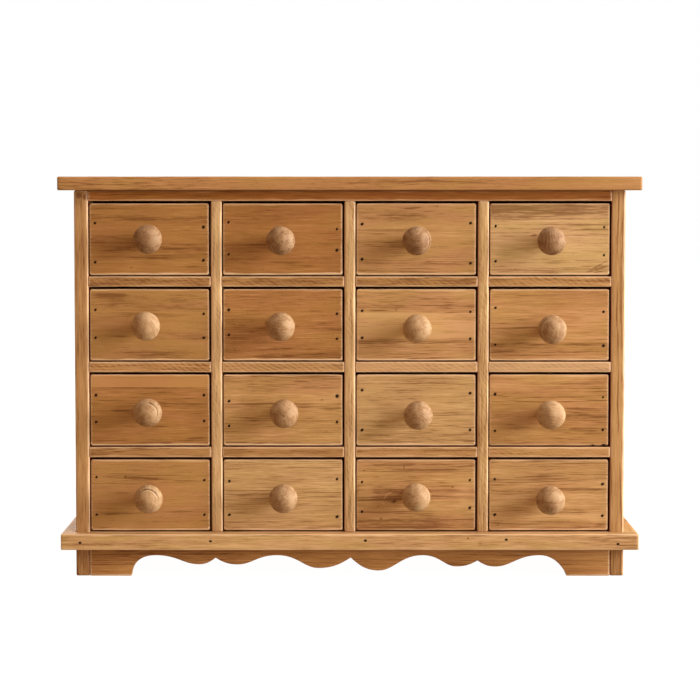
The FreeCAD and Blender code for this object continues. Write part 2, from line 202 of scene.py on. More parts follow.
# painted shade on the boards round each opening, just behind their front edges
bayShadeColour = (0.300, 0.020, 0.007, 1.0)
palestTone = 0.15  # a board that should be paler than this is bleached as well

plainLook = {
    "tone": "honey",
    "spacing": 0.0038,  # from ring to ring
    "lines": 0.55,  # how dark the ring lines are
    "wander": 0.009,  # how far the rings stray along the board
    "drift": 0.80,  # broad changes of tone across the board
    "streak": 0.60,  # short streaks with the grain
    "ducts": 0.45,  # fine dark dashes
    "cast": 0.8,  # how far the hue strays between rosy and golden
    "golden": 0.0,  # and which of them leads
    "lift": 0.0,  # how much paler the board is than its tone
    "shaded": 0.0,  # a dark line of painted shade close under the board above
    "wearAndHighlight": 0.50,  # paler wood on rubbed edges, partly rubbing and partly painted highlight
    "lowEdgeWearAndHighlight": 0.0,  # more of it along the lower edge, partly rubbed wood and partly painted highlight
    "gapShade": 0.0,  # painted shade, dark red-brown, on the sides of a front, which face a gap
    "bayShade": 0.0,  # painted shade on the boards round it, just behind their front edges
    "roughness": 0.50,
}
# marks are in millimetres from the middle of the board, along and then across; an oval gives
# its middle, length, width and strength in percent, and its slope where it leaves the grain
noMarks = {
    "shades": (),  # broad ovals, darker or paler
    "streaks": (),  # narrow ovals, darker or paler
    "stains": (),  # ovals nearly black
    "knots": (),  # middle and size
    "pins": (),  # tiny knots on an edge, with a depth before the size
    "bands": (),  # from a height up the tone lifts: the height, its softness, the percent
    "foot": (),  # darker low on a leg: its height, softness and percent
    "sawn": (),  # slanting marks of the saw: their slope, spacing and strength
    "inside": (1.0, 1.0),  # which faces of a board get this painted shade, left and right
}


def opaque(colour):
    return (*colour, 1.0)


def patch(recipe, flat, wobble, mark, soft):
    # the mask of an oval mark, and its strength
    x, y, length, width, depth, slope = (*mark, 0.0)[:6]
    place = recipe.node(
        "ShaderNodeMapping", {"vector_type": "TEXTURE"},
        {
            "Vector": flat,
            "Location": (x * milli, y * milli, 0.0),
            "Rotation": (0.0, 0.0, slope),
            "Scale": (length * milli / 2, width * milli / 2, 1.0),
        },
    )
    return (recipe.length(place) + wobble).step(1.0, 1.0 - soft), depth / 100


def withPatches(total, recipe, flat, wobble, marks, soft, share=1.0):
    for mark in marks:
        mask, depth = patch(recipe, flat, wobble, mark, soft)
        total = total + mask * (depth * share)
    return total


def toneRamp(recipe, value, middle):
    # 0 is the palest wood, 1 the darkest
    pale = [share * part for share, part in zip(paleShare, middle)]
    dark = [share * part for share, part in zip(darkShare, middle)]
    lighter = recipe.blend(value.step(0.0, 0.5), opaque(pale), opaque(middle))
    return recipe.blend(value.step(0.5, 1.0), lighter, opaque(dark))


def woodFinish(name, look, marks=None):
    look = {**plainLook, **look}
    marks = {**noMarks, **(marks or {})}
    recipe = newFinish(name)
    local = recipe.attribute("local")
    along, across, deep = recipe.parts(local)
    shift, pithAcross, pithDeep = recipe.parts(recipe.attribute("log"))

    def grainCloud(*sizes):
        return recipe.grainCloud(*sizes) - 0.5

    # rings round the heart of the log, which lies beside or behind the board
    slow = grainCloud(0.24, 0.075, 3.1, 1.0)
    quick = grainCloud(0.050, 0.022, 11.7, 1.0)
    wobble = quick * 0.5
    straight = recipe.vector(along, across)
    wavy = across + slow * 0.0045 + quick * 0.0012
    waving = recipe.vector(along, wavy)
    radius = (
        ((across - pithAcross) ** 2.0 + (deep - pithDeep) ** 2.0) ** 0.5
        + slow * look["wander"]
        + quick * (look["wander"] * 0.22)
    )
    # the rings bow round a knot
    bows = [(x, y, size * 6, size * 3.2, size * 75) for x, y, size in marks["knots"]]
    radius = withPatches(radius, recipe, straight, 0.0, bows, 1.0, milli)
    # wet and dry years: the rings are not evenly spaced
    oneWay = {"noise_dimensions": "1D"}
    years = recipe.node("ShaderNodeTexNoise", oneWay, {"W": radius * 95.0 + shift, "Detail": 1.0})
    ring = (radius + years * 0.011) / look["spacing"]
    number = ring.through("FLOOR")
    part = ring - number
    chance = recipe.node("ShaderNodeTexWhiteNoise", oneWay, {"W": number + shift * 7.0})
    fading = (grainCloud(0.070, 0.006, 71.3, 1.0) * 3.2 + 0.7).atLeast(0.0)
    late = part.step(0.15, 0.88) * (1.0 - part.step(0.88, 1.0)) * (chance ** 1.5) * fading

    broad = grainCloud(0.21, 0.017, 23.3)
    streak = grainCloud(0.042, 0.0032, 31.9)
    thread = grainCloud(0.024, 0.0013, 37.1, 1.0)
    hair = grainCloud(0.017, 0.00080, 43.1, 1.0)
    fibre = grainCloud(0.008, 0.00045, 47.7, 2.0, 0.6)

    tone = recipe.attribute("tone", "Fac")
    darkness = (
        0.42
        + broad * look["drift"] * 1.5
        + (streak * 1.0 + thread * 1.3 + hair * 1.4) * look["streak"]
        + fibre * 0.60
        + late * look["lines"] * 1.5
        - tone.atMost(palestTone)
        - look["lift"]
    )
    # resin ducts: short fine dark dashes
    ducts = grainCloud(0.0042, 0.00060, 59.3, 1.0).step(0.17, 0.27)
    darkness = darkness + ducts * (look["ducts"] * 0.6)

    for start, soft, lift in marks["bands"]:
        line = wavy.step((start - soft) * milli, (start + soft) * milli)
        darkness = darkness - line * (lift / 100)
    darkness = withPatches(darkness, recipe, waving, thread * 0.4, marks["shades"], 0.6, 0.40)
    if marks["streaks"]:
        streaks = withPatches(0.0, recipe, waving, thread * 0.9, marks["streaks"], 0.9, 0.72)
        darkness = darkness + streaks * (thread * 1.8 + hair * 2.0 + 0.9).atLeast(0.0)
    for x, y, size in marks["knots"]:
        halo = (x, y, size * 3.4, size * 2.0, 28)
        heart = (x, y, size * 1.25, size, 85)
        for oval, soft in ((halo, 0.9), (heart, 0.5)):
            darkness = withPatches(darkness, recipe, straight, wobble, [oval], soft)
    for x, y, z, size in marks["pins"]:
        off = recipe.vectorMaths("SUBTRACT", local, (x * milli, y * milli, z * milli))
        far = recipe.length(recipe.vectorMaths("MULTIPLY", off, (0.7, 1.0, 0.6)))
        darkness = darkness + (1.0 - (far / (size * milli) + wobble).step(0.35, 1.0)) * 0.75

    # end grain drinks more varnish
    halfAcross, halfDeep = recipe.parts(recipe.attribute("half"))[1:]
    ends, sides, faces = recipe.fromEdges(local)
    darkness = darkness + (1.0 - ends.step(0.0001, 0.0006)) * 0.30
    wearAndHighlight = look["wearAndHighlight"]
    if marks["foot"]:
        # the darkening hides the rubbed edge
        level, soft, depth = marks["foot"]
        low = 1.0 - (along + quick * 0.01).step((level - soft) * milli, (level + soft) * milli)
        darkness = darkness + low * (depth / 100)
        wearAndHighlight = (1.0 - low * 1.2) * wearAndHighlight
    height = 0.0 - late * 0.45 - fibre * 0.5

    if marks["sawn"]:
        slope, pitch, depth = marks["sawn"]
        wave = along * (math.cos(slope) / pitch) + deep * (math.sin(slope) / pitch) + quick * 2.0
        teeth = (wave * tau).through("SINE").step(0.1, 1.0)
        cut = teeth * recipe.attribute("sawn", "Fac") * fading.atMost(1.3) * (hair * 3.0 + 1.0)
        darkness = darkness + cut * depth
        height = height - cut * 0.5
    colour = toneRamp(recipe, darkness, woodTones[look["tone"]])
    hue = grainCloud(0.060, 0.016, 83.9, 1.0)
    lean = hue + streak * 0.3 + look["golden"]
    cast = recipe.blend(lean.step(-0.16, 0.16), rosyCast, goldenCast)
    colour = recipe.blend(look["cast"], colour, cast, "MULTIPLY")
    colour = recipe.blend((tone - palestTone).atLeast(0.0) * 0.7, colour, wearAndHighlightColour)

    # painted shade: the sides of a front, which face a gap, turn dark red-brown as the shade there
    if look["gapShade"]:
        gap = 1.0 - ends.atMost(sides).step(0.0002, 0.0006)
        paintedShade = gap * faces.step(0.0006, 0.0018) * look["gapShade"]
        colour = recipe.blend(paintedShade, colour, gapShadeColour)
    # painted shade inside each opening, just behind the front edges of its boards
    if look["bayShade"]:
        # the left or lower face of a board, turned from the light, gets more of this painted shade
        behind = across + halfAcross
        left = (1.0 - (deep + halfDeep).step(0.0005, 0.0012)) * behind.step(0.0002, 0.0009)
        right = (1.0 - (halfDeep - deep).step(0.0002, 0.0006)) * behind.step(0.0012, 0.0035)
        leftShare, rightShare = marks["inside"]
        paintedShade = (left * leftShare).atLeast(right * rightShare)
        paintedShade = paintedShade * (1.0 - behind.step(0.009, 0.018)) * look["bayShade"]
        colour = recipe.blend(paintedShade, colour, bayShadeColour)
    # painted shade: a dark line along the upper edge, under the board above, hiding the pale edge
    if look["shaded"]:
        upper = (deep - halfDeep).step(-0.0024, -0.0010) * look["shaded"]
        wearAndHighlight = (1.0 - upper) * wearAndHighlight
        colour = recipe.blend(upper * 0.35, colour, stainAndShadeColour)
    # rubbed edges are paler, partly rubbing and partly painted highlight: the second nearest
    # surface is the distance from an edge
    second = sides.atMost(faces).atLeast(ends.atMost(sides.atLeast(faces)))
    fromEdge = second + quick * 0.0016 + thread * 0.0030
    # the paler strip along the lower edge of a front is partly rubbed wood and partly painted
    # highlight
    if look["lowEdgeWearAndHighlight"]:
        low = (1.0 - across.step(-0.0335, -0.0310)) * (thread * 1.6 + 0.9) * look["lowEdgeWearAndHighlight"]
        wearAndHighlight = low + wearAndHighlight
        fromEdge = fromEdge - low * 0.0003
    rubAndHighlight = 1.0 - fromEdge.step(0.0005, 0.0022)
    colour = recipe.blend((rubAndHighlight * wearAndHighlight).atMost(1.0), colour, wearAndHighlightColour)

    for mark in marks["stains"]:
        mask, depth = patch(recipe, straight, wobble, mark, 0.55)
        colour = recipe.blend(mask * depth, colour, stainAndShadeColour)
        height = height - mask * 0.8
    varnish = {
        "Specular IOR Level": 0.30, "Coat Weight": 0.05, "Coat Roughness": 0.36, "IOR": 1.45,
    }
    roughness = fibre * 0.16 - late * 0.05 + look["roughness"]
    return recipe.painted(colour, roughness, height, 0.32, 0.00035, varnish)


nextSeed = random.Random(fixedSeed)


def pickLog(style):
    # a run along the log, and where its heart lies from a board's middle, across and behind
    shift = nextSeed.uniform(0.0, 9.0)
    side = nextSeed.choice((-1, 1))
    hearts = {
        "straight": (0.09, 0.14, 0.03, 0.06),
        "rift": (0.06, 0.10, 0.06, 0.10),
        "flat": (0.0, 0.02, 0.05, 0.08),
    }
    nearest, farthest, shallow, deep = hearts[style]
    return shift, side * nextSeed.uniform(nearest, farthest), -nextSeed.uniform(shallow, deep)


def meshOf(shape, name, smooth=True, sharp=0):
    # sharp is the angle in degrees above which an edge stays sharp
    mesh = bpy.data.meshes.new(name)
    shape.to_mesh(mesh)
    shape.free()
    if smooth:
        mesh.shade_smooth()
    if sharp:
        mesh.set_sharp_from_angle(angle=math.radians(sharp))
    return mesh


def bevel(shape, lines, offset, segments):
    bmesh.ops.bevel(
        shape, geom=lines, offset=offset, offset_type="OFFSET", segments=segments, profile=0.5,
        affect="EDGES", material=-1,
    )


def setVectors(mesh, name, numbers):
    mesh.attributes.new(name, "FLOAT_VECTOR", "POINT").data.foreach_set("vector", numbers)


def markGrain(mesh, low, high, grain, face, log, tone=0.0, sawn=0.0):
    # each point knows its place in its own board, so that the grain follows the board
    order = [axisNumber[grain], 3 - axisNumber[grain] - axisNumber[face], axisNumber[face]]
    middle = (Vector(low) + Vector(high)) / 2
    half = (Vector(high) - Vector(low)) / 2
    count = len(mesh.vertices)
    places = [(vertex.co - middle)[n] for vertex in mesh.vertices for n in order]
    setVectors(mesh, "local", places)
    setVectors(mesh, "half", [half[n] for n in order] * count)
    setVectors(mesh, "log", list(log) * count)
    for name, value in (("tone", tone), ("sawn", sawn)):
        mesh.attributes.new(name, "FLOAT", "POINT").data.foreach_set("value", [value] * count)


def easedBoard(
    low, high, grain="X", face="Y", edge=0.001, corner=0.0, uneven=0.00012, cell=0.016,
    cutting="straight", tone=0.0, sawn=0.0,
):
    # a board with rounded edges that waver a little, as hand-eased edges do
    low, high = Vector(low), Vector(high)
    size = high - low
    shape = bmesh.new()
    bmesh.ops.create_cube(shape, size=1.0)
    bmesh.ops.scale(shape, vec=size, verts=shape.verts)
    if corner:
        n = axisNumber[face]
        uprights = [line for line in shape.edges if line.verts[0].co[n] != line.verts[1].co[n]]
        bevel(shape, uprights, corner, 4)
    for axis, across in enumerate(Matrix.Identity(3)):
        half = size[axis] / 2
        steps = max(1, round(size[axis] / cell))
        places = [size[axis] * n / steps - half for n in range(1, steps)]
        places = [place for place in places if abs(place) < half - 4 * edge]
        for place in places + [2.6 * edge - half, half - 2.6 * edge]:
            bmesh.ops.bisect_plane(
                shape, geom=shape.verts[:] + shape.edges[:] + shape.faces[:],
                plane_co=across * place, plane_no=across,
            )
    bevel(shape, [line for line in shape.edges if line.calc_face_angle(0) > 1.0], edge, 3)
    bmesh.ops.translate(shape, vec=(low + high) / 2, verts=shape.verts)
    mesh = meshOf(shape, "board")
    log = pickLog(cutting)
    markGrain(mesh, low, high, grain, face, log, tone, sawn)
    for vertex in mesh.vertices:
        vertex.co += noise.noise_vector(vertex.co * 55.0 + Vector(log) * 9.0) * uneven
        vertex.co += noise.noise_vector(vertex.co * 240.0) * uneven * 0.35
    return mesh


def placed(name, data, material=None):
    if material:
        data.materials.append(material)
    thing = bpy.data.objects.new(name, data)
    bpy.context.scene.collection.objects.link(thing)
    return thing


def joined(name, meshes, material, node, body="carcass"):
    # puts the meshes of one piece together and hangs it on its body
    whole = bmesh.new()
    for mesh in meshes:
        whole.from_mesh(mesh)
        bpy.data.meshes.remove(mesh)
    piece = placed(name, meshOf(whole, name, smooth=False), material)
    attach(piece, body)
    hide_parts(node)


case = {
    "frontY": -0.070,
    "backY": 0.100,
    "backPanel": 0.004,
    "halfWidth": 0.275,
    "halfInner": 0.261,
    "side": 0.014,
    "divider": 0.011,
    "bayFloor": 0.0445,
    "bayWidth": 0.12225,
    "bayHeight": 0.0753,
    "shelf": 0.0103,
    "shelfRecess": 0.0002,
    "innerTopFloor": 0.3766,
    "underside": 0.0342,
    "topFloor": 0.3872,
    "rows": 4,
    "columns": 4,
}
bayPitch = case["bayWidth"] + case["divider"]
rowPitch = case["bayHeight"] + case["shelf"]


def bayLeft(column):
    return -case["halfInner"] + column * bayPitch


def boardFromNode(node, material, slot="case_wood", **board):
    mesh = easedBoard(*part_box(node), **board)
    joined(node.replace("_board", "_plank"), [mesh], material, node)


caseLooks = {
    "top": {
        "tone": "honey", "lines": 0.35, "drift": 0.5, "streak": 0.32, "golden": -0.06,
        "lift": -0.10, "wearAndHighlight": 0.0,
    },
    "side": {
        "tone": "tan", "lines": 0.5, "spacing": 0.0030, "drift": 0.35, "streak": 0.5,
        "wearAndHighlight": 0.6, "bayShade": 0.95, "cast": 0.3,
    },
    "rail": {"tone": "chestnut", "drift": 0.4, "bayShade": 0.9, "shaded": 0.8},
    "divider": {
        "tone": "straw", "lines": 0.5, "drift": 0.3, "streak": 0.9, "wearAndHighlight": 0.55, "ducts": 1.0,
        "bayShade": 0.95, "cast": 0.3,
    },
    "shelf": {"tone": "honey", "spacing": 0.0028, "ducts": 0.8, "bayShade": 0.9, "cast": 0.4},
    "moulding": {"tone": "straw", "spacing": 0.0030, "drift": 0.5},
    "apron": {"tone": "amber", "cast": 0.4},
    "base": {"tone": "amber"},
}
caseMarks = {
    "top_board": {
        "streaks": [(-230, 0, 420, 900, 40), (60, 0, 300, 900, 10), (270, 0, 200, 900, -10)],
    },
    "left_side_panel": {
        "inside": (0.0, 1.0),
        "foot": (-164, 6, 30),
        "pins": [(188.4, -85, -1.8, 2.2), (187, -85, 5.1, 2.6)],
    },
    "right_side_panel": {"inside": (1.0, 0.0), "foot": (-164, 6, 24)},
    "scalloped_apron": {"streaks": [(240, 0, 130, 90, -30)]},  # its right end is paler
    "sawn": {"sawn": (math.radians(57), 0.0040, 0.42)},
}
caseBoards = (
    # node, finish, look, grain, face, edge, cutting and tone
    ("top_board", "topWood", "top", "X", "Z", 0.0014, "flat", 0.0),
    ("left_side_panel", "leftSideWood", "side", "Z", "X", 0.0017, "flat", -0.10),
    ("right_side_panel", "rightSideWood", "side", "Z", "X", 0.0017, "flat", -0.04),
    ("inner_top", "railWood", "rail", "X", "Z", 0.0008, "straight", 0.0),
    ("bottom_board", "baseWood", "base", "X", "Z", 0.0008, "straight", 0.0),
)
for node, finish, look, grain, face, edge, cutting, tone in caseBoards:
    boardFromNode(
        node, woodFinish(finish, caseLooks[look], caseMarks.get(node)),
        grain=grain, face=face, edge=edge, cutting=cutting, tone=tone,
    )
print("case boards made")

dividers = []
for place, tone in enumerate((0.30, 0.22, 0.05), 1):
    left = bayLeft(place) - case["divider"]
    dividers.append(easedBoard(
        (left, case["frontY"], case["bayFloor"]),
        (left + case["divider"], case["backY"], case["innerTopFloor"]),
        grain="Z", face="X", edge=0.0018, cutting="rift", tone=tone, sawn=0.4,
    ))
dividerWood = woodFinish("dividerWood", caseLooks["divider"], caseMarks["sawn"])
joined("dividers", dividers, dividerWood, "column_dividers")

# how light each shelf is, and how strongly it shows the saw, bottom level first
shelfTones = (
    (-0.04, -0.14, 0.06, 0.16),
    (0.10, 0.24, 0.42, 0.56),
    (-0.14, -0.34, -0.34, 0.02),
)
shelfSawing = (
    (0.1, 0.0, 0.3, 0.4),
    (1.0, 1.0, 0.9, 0.9),
    (0.5, 0.4, 0.5, 0.8),
)
shelves = []
for level in range(1, case["rows"]):
    top = case["bayFloor"] + level * rowPitch
    for column in range(case["columns"]):
        left = bayLeft(column)
        shelves.append(easedBoard(
            (left, case["frontY"] + case["shelfRecess"], top - case["shelf"]),
            (left + case["bayWidth"], case["backY"], top), grain="X", face="Z", edge=0.0009,
            tone=shelfTones[level - 1][column], sawn=shelfSawing[level - 1][column],
        ))
shelfWood = woodFinish("shelfWood", caseLooks["shelf"], caseMarks["sawn"])
joined("shelves", shelves, shelfWood, "drawer_shelves")
print("dividers and shelves made")

mouldingNails = (
    (-0.2693, 0.0358), (-0.1391, 0.0374), (0.0155, 0.0380), (0.1561, 0.0390), (0.2676, 0.0346),
)
mouldingLow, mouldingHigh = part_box("front_moulding")
mouldingMiddle = (mouldingLow.z + mouldingHigh.z) / 2


def onMoulding(x, z, *mark):
    return (x / milli, (z - mouldingMiddle) / milli, *mark)


mouldingMarks = {
    # the dark ovals at the nails are partly stain and partly painted shade of their punched holes
    "stains": [onMoulding(x, z, 4.2, 3.2, 95) for x, z in mouldingNails],
    "knots": [onMoulding(0.1179, 0.0408, 1.6), onMoulding(0.1299, 0.0348, 1.6)],
    "streaks": [(260, 0, 170, 90, 16)],
}
frontStrip = woodFinish("frontMouldingWood", caseLooks["moulding"], mouldingMarks)
boardFromNode("front_moulding", frontStrip, grain="X", face="Y", edge=0.0012)
stripLow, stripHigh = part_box("side_mouldings")
mouldings = []
for side in (-1, 1):
    low, high = sorted((side * case["halfWidth"], side * stripHigh.x))
    mouldings.append(easedBoard(
        (low, case["frontY"], stripLow.z), (high, stripHigh.y, stripHigh.z), grain="Y", face="X",
    ))
sideStrip = woodFinish("sideMouldingWood", caseLooks["moulding"])
joined("sideStrips", mouldings, sideStrip, "side_mouldings")
print("mouldings made")

apron = {
    "thickness": 0.010,
    "edge": 0.0006,
    "leftFoot": -0.2197,  # inner corners of the two feet
    "rightFoot": 0.2180,
    "arch": 0.0208,
    "archPeaks": (-0.195, -0.073, 0.0735, 0.191),
    # each pendant: a lobe, the notch and a second lobe, across and up
    "pendants": (
        ((-0.1520, 0.0116), (-0.1349, 0.0182), (-0.1125, 0.0114)),
        ((-0.0315, 0.0078), (0.0009, 0.0184), (0.0290, 0.0053)),
        ((0.1070, 0.0094), (0.1284, 0.0154), (0.1464, 0.0093)),
    ),
}


def apronOutline():
    # the corners of the outline, each with the handles that arrive at it and leave it
    def toward(start, end, across, up=0.0):
        return ((end[0] - start[0]) * across, (end[1] - start[1]) * up)

    level = (0.0, 0.0)
    left = (apron["leftFoot"], 0.0)
    right = (apron["rightFoot"], 0.0)
    peaks = [(across, apron["arch"]) for across in apron["archPeaks"]]
    points = [(left, level, toward(left, peaks[0], 0.06, 0.58))]
    arrival = toward(peaks[0], left, 0.68)
    for before, after, (lobe, notch, endLobe) in zip(peaks, peaks[1:], apron["pendants"]):
        points += [
            (before, arrival, toward(before, lobe, 0.5)),
            (lobe, toward(lobe, before, 0.35), toward(lobe, notch, 0.45)),
            (notch, toward(notch, lobe, 0.3, 0.6), toward(notch, endLobe, 0.3, 0.6)),
            (endLobe, toward(endLobe, notch, 0.45), toward(endLobe, after, 0.35)),
        ]
        arrival = toward(after, endLobe, 0.5)
    points += [
        (peaks[-1], arrival, toward(peaks[-1], right, 0.5)),
        (right, toward(right, peaks[-1], 0.13, 0.46), level),
    ]
    half, top = case["halfInner"], case["underside"]
    return points + [
        (corner, level, level) for corner in ((half, 0.0), (half, top), (-half, top), (-half, 0.0))
    ]


def makeApron():
    points = apronOutline()
    outline = bpy.data.curves.new("apronOutline", "CURVE")
    outline.dimensions = "2D"
    outline.fill_mode = "BOTH"
    outline.resolution_u = 14
    outline.extrude = apron["thickness"] / 2 - apron["edge"]
    outline.bevel_depth = apron["edge"]
    outline.bevel_resolution = 2
    outline.offset = -apron["edge"]
    spline = outline.splines.new("BEZIER")
    spline.use_cyclic_u = True
    spline.bezier_points.add(len(points) - 1)
    for point, ((x, z), arrival, leaving) in zip(spline.bezier_points, points):
        point.handle_left_type = point.handle_right_type = "FREE"
        point.co = (x, z, 0.0)
        point.handle_left = (x + arrival[0], z + arrival[1], 0.0)
        point.handle_right = (x + leaving[0], z + leaving[1], 0.0)
    flat = placed("apronOutline", outline)
    bpy.context.view_layer.update()
    mesh = bpy.data.meshes.new_from_object(
        flat.evaluated_get(bpy.context.evaluated_depsgraph_get())
    )
    bpy.data.objects.remove(flat)
    # the curve lies flat, so it is stood up behind the front edges of the sides
    middle = case["frontY"] + apron["thickness"] / 2
    mesh.transform(Matrix.Translation((0.0, middle, 0.0)) @ Matrix.Rotation(math.pi / 2, 4, "X"))
    whole = bmesh.new()
    whole.from_mesh(mesh)
    bmesh.ops.remove_doubles(whole, verts=whole.verts, dist=0.00001)
    bmesh.ops.recalc_face_normals(whole, faces=whole.faces)
    whole.to_mesh(mesh)
    whole.free()
    mesh.materials.clear()
    for name in [item.name for item in mesh.attributes if not item.is_required]:
        if name not in ("sharp_face", "sharp_edge", "material_index"):
            mesh.attributes.remove(mesh.attributes[name])
    mesh.shade_smooth()
    mesh.set_sharp_from_angle(angle=math.radians(50))
    low = (-case["halfInner"], case["frontY"], 0.0)
    high = (case["halfInner"], case["frontY"] + apron["thickness"], case["underside"])
    markGrain(mesh, low, high, "X", "Y", (2.7, -0.11, -0.04))
    apronWood = woodFinish("apronWood", caseLooks["apron"], caseMarks["scalloped_apron"])
    joined("scallops", [mesh], apronWood, "scalloped_apron")


makeApron()
print("apron made")


def plywoodFinish(name, pale, dark, ply=0.00133):
    recipe = newFinish(name)
    local = recipe.attribute("local")
    away = recipe.scaled(recipe.attribute("log"), 43.0)
    # a peeled sheet runs in and out of the rings, so they lie in wide loops
    loops = recipe.drawnOut(local, away, 0.22, 0.035, 1.0) * 9.0
    bands = (loops * tau).through("SINE").step(0.1, 1.0)
    fibre = recipe.drawnOut(local, away, 0.020, 0.0007)
    flecks = recipe.drawnOut(local, away, 0.006, 0.0006, 1.0).step(0.66, 0.76)
    colour = recipe.blend(bands * 0.45, opaque(pale), opaque(dark))
    # the edge shows the glued sheets
    sheets = (recipe.parts(local)[2] / ply + 0.5).through("FRACT").step(0.42, 0.58)
    ends, sides, faces = recipe.fromEdges(local)
    rim = 1.0 - ends.atMost(sides).step(0.0002, 0.0005)
    colour = recipe.blend(rim * sheets * 0.6, colour, opaque(dark))
    colour = recipe.scaled(colour, (0.90 + fibre * 0.20) * (1.0 - flecks * 0.22))
    return recipe.painted(colour, 0.60 + fibre * 0.12, fibre, 0.2, 0.0002, {})


sheetWood = plywoodFinish("plywood", (0.56, 0.36, 0.19), (0.38, 0.21, 0.10))
boardFromNode("back_panel", sheetWood, "panel_wood", grain="Z", face="Y", edge=0.0004, cell=0.03)
print("back panel made")

drawers = {
    "width": 0.11935,
    "shift": -0.0003,
    "gapBelow": 0.0014,
    "frontHeight": 0.0715,
    "faceY": -0.0685,
    "innerY": -0.0585,
    "length": 0.158,
    "runClearance": 0.0002,
    "panel": 0.004,
    "wall": 0.010,
    "wallHeight": 0.065,
    "backWall": 0.008,
    "nailInset": 0.0056,
    # in millimetres, each drawer's knob from the middle of its front, across and up, then how
    # far its nails stand above and below it: upper left, lower left, upper right, lower right
    "places": {
        "r1c1": (0.8, 0.5, 16, 23, 12, 21),
        "r1c2": (-1.3, -1.1, 17, 15, 10, 11),
        "r1c3": (0.0, -0.9, 15, 20, 16, 24),
        "r1c4": (-0.3, -1.2, 13, 22, 12, 16),
        "r2c1": (-1.5, 0.2, 15, 13, 11, 13),
        "r2c2": (-1.5, -0.5, 15, 10, 11, 14),
        "r2c3": (0.4, -2.4, 14, 13, 13, 14),
        "r2c4": (0.7, -3.3, 17, 20, 13, 21),
        "r3c1": (-0.1, -0.2, 15, 12, 15, 11),
        "r3c2": (1.9, -1.1, 9, 16, 14, 12),
        "r3c3": (1.5, -2.9, 20, 20, 17, 20),
        "r3c4": (-0.2, -2.6, 16, 21, 13, 20),
        "r4c1": (0.1, -0.7, 18, 20, 15, 20),
        "r4c2": (0.9, -0.4, 14, 20, 16, 22),
        "r4c3": (-0.4, 1.0, 13, 17, 15, 13),
        "r4c4": (0.0, -2.0, 16, 20, 11, 21),
    },
}

# each front gets painted shade on the sides that face its gap, and a paler lower edge
plainFront = {"gapShade": 0.6, "lowEdgeWearAndHighlight": 0.6}
frontLooks = {
    "r1c1": {"tone": "amber", "spacing": 0.009, "lines": 0.25, "golden": 0.10, "streak": 0.45},
    "r1c2": {"tone": "russet", "lines": 0.25, "ducts": 1.0, "streak": 0.5, "lowEdgeWearAndHighlight": 1.0},
    "r1c3": {"tone": "tan", "lines": 0.30, "drift": 0.5, "streak": 0.4},
    "r1c4": {"tone": "palestraw", "lift": -0.04, "lines": 0.3, "streak": 0.45,
             "drift": 0.6, "golden": -0.03},
    "r2c1": {"tone": "honey", "lines": 0.15, "spacing": 0.008, "streak": 0.3, "golden": 0.10},
    "r2c2": {"tone": "amber", "lines": 0.4, "ducts": 1.0, "lowEdgeWearAndHighlight": 1.0},
    "r2c3": {"tone": "tan", "lines": 0.5, "lowEdgeWearAndHighlight": 1.0},
    "r2c4": {"tone": "honey", "lines": 0.4, "lift": -0.18},
    "r3c1": {"tone": "amber", "lines": 0.25, "drift": 0.35},
    "r3c2": {"tone": "tan", "lines": 0.4, "drift": 0.5, "ducts": 0.9, "lowEdgeWearAndHighlight": 1.0,
             "golden": 0.06},
    "r3c3": {"tone": "straw", "lines": 0.4, "drift": 0.5, "wander": 0.018, "cast": 0.35,
             "golden": 0.06},
    "r3c4": {"tone": "honey", "lines": 0.6, "lowEdgeWearAndHighlight": 0.0},
    "r4c1": {"tone": "honey", "lines": 0.2, "drift": 0.5, "streak": 0.35},
    "r4c2": {"tone": "straw", "lines": 0.5, "drift": 0.4, "cast": 0.35, "golden": 0.06},
    "r4c3": {"tone": "tan", "lines": 0.5, "lowEdgeWearAndHighlight": 0.0},
    "r4c4": {"tone": "tan", "lines": 0.4, "lift": -0.20, "cast": 0.35, "golden": 0.06},
}
# broad ovals: those at the middle of a front, round its knob, are painted shadow of the knob; the
# others make broad parts of the front darker or paler
frontShades = {
    "r1c1": [(-40, 28, 120, 34, 40)],
    "r1c3": [(-40, 28, 150, 36, 55), (-8, -2, 60, 30, 20)],
    "r1c4": [(-20, 30, 180, 40, 40), (0, -28, 180, 34, 35)],
    "r2c1": [(-45, 26, 60, 30, 40), (0, -28, 120, 26, 35)],
    "r2c2": [(40, -28, 150, 34, 60)],
    "r2c3": [(-30, 28, 150, 34, 35), (0, 0, 60, 30, 25)],
    "r2c4": [(0, 30, 200, 34, 35), (0, -29, 200, 30, -45), (0, 0, 70, 24, 25)],
    "r3c2": [(0, 30, 200, 36, 40), (-50, 0, 34, 32, -40)],
    "r3c3": [(0, 30, 200, 32, 40), (-50, -4, 34, 40, -40)],
    "r3c4": [(0, 27, 130, 26, -30), (30, -14, 90, 60, 50)],
    "r4c2": [(-50, -26, 34, 30, -35)],
    "r4c3": [(-52, 0, 30, 30, -80), (52, 0, 30, 30, -55), (0, -26, 90, 30, 60)],
    "r4c4": [(20, 30, 180, 44, 60), (10, -29, 180, 30, -40), (-5, 0, 60, 24, 25)],
}
frontBands = {
    "r1c4": [(18.6, 0.4, -22)],
    "r2c3": [(12.8, 0.8, -45), (-13.5, 1.2, 45)],
    "r2c4": [(-18, 0.7, 38)],
    "r3c1": [(23.4, 0.3, 50)],
    "r3c4": [(20, 3, 22)],
    "r4c4": [(-29, 0.5, 28)],
}
frontKnots = {"r4c3": [(37, 8, 1.6), (-35, -24, 2.0), (-38, -12, 1.3)]}
frontStains = {
    "r3c4": [(44, -35.4, 5, 2.4, 90), (55, -35, 7, 2.6, 95)],
    "r4c3": [(-21.2, -6.2, 3.4, 2.4, 75, 0.2)],
}
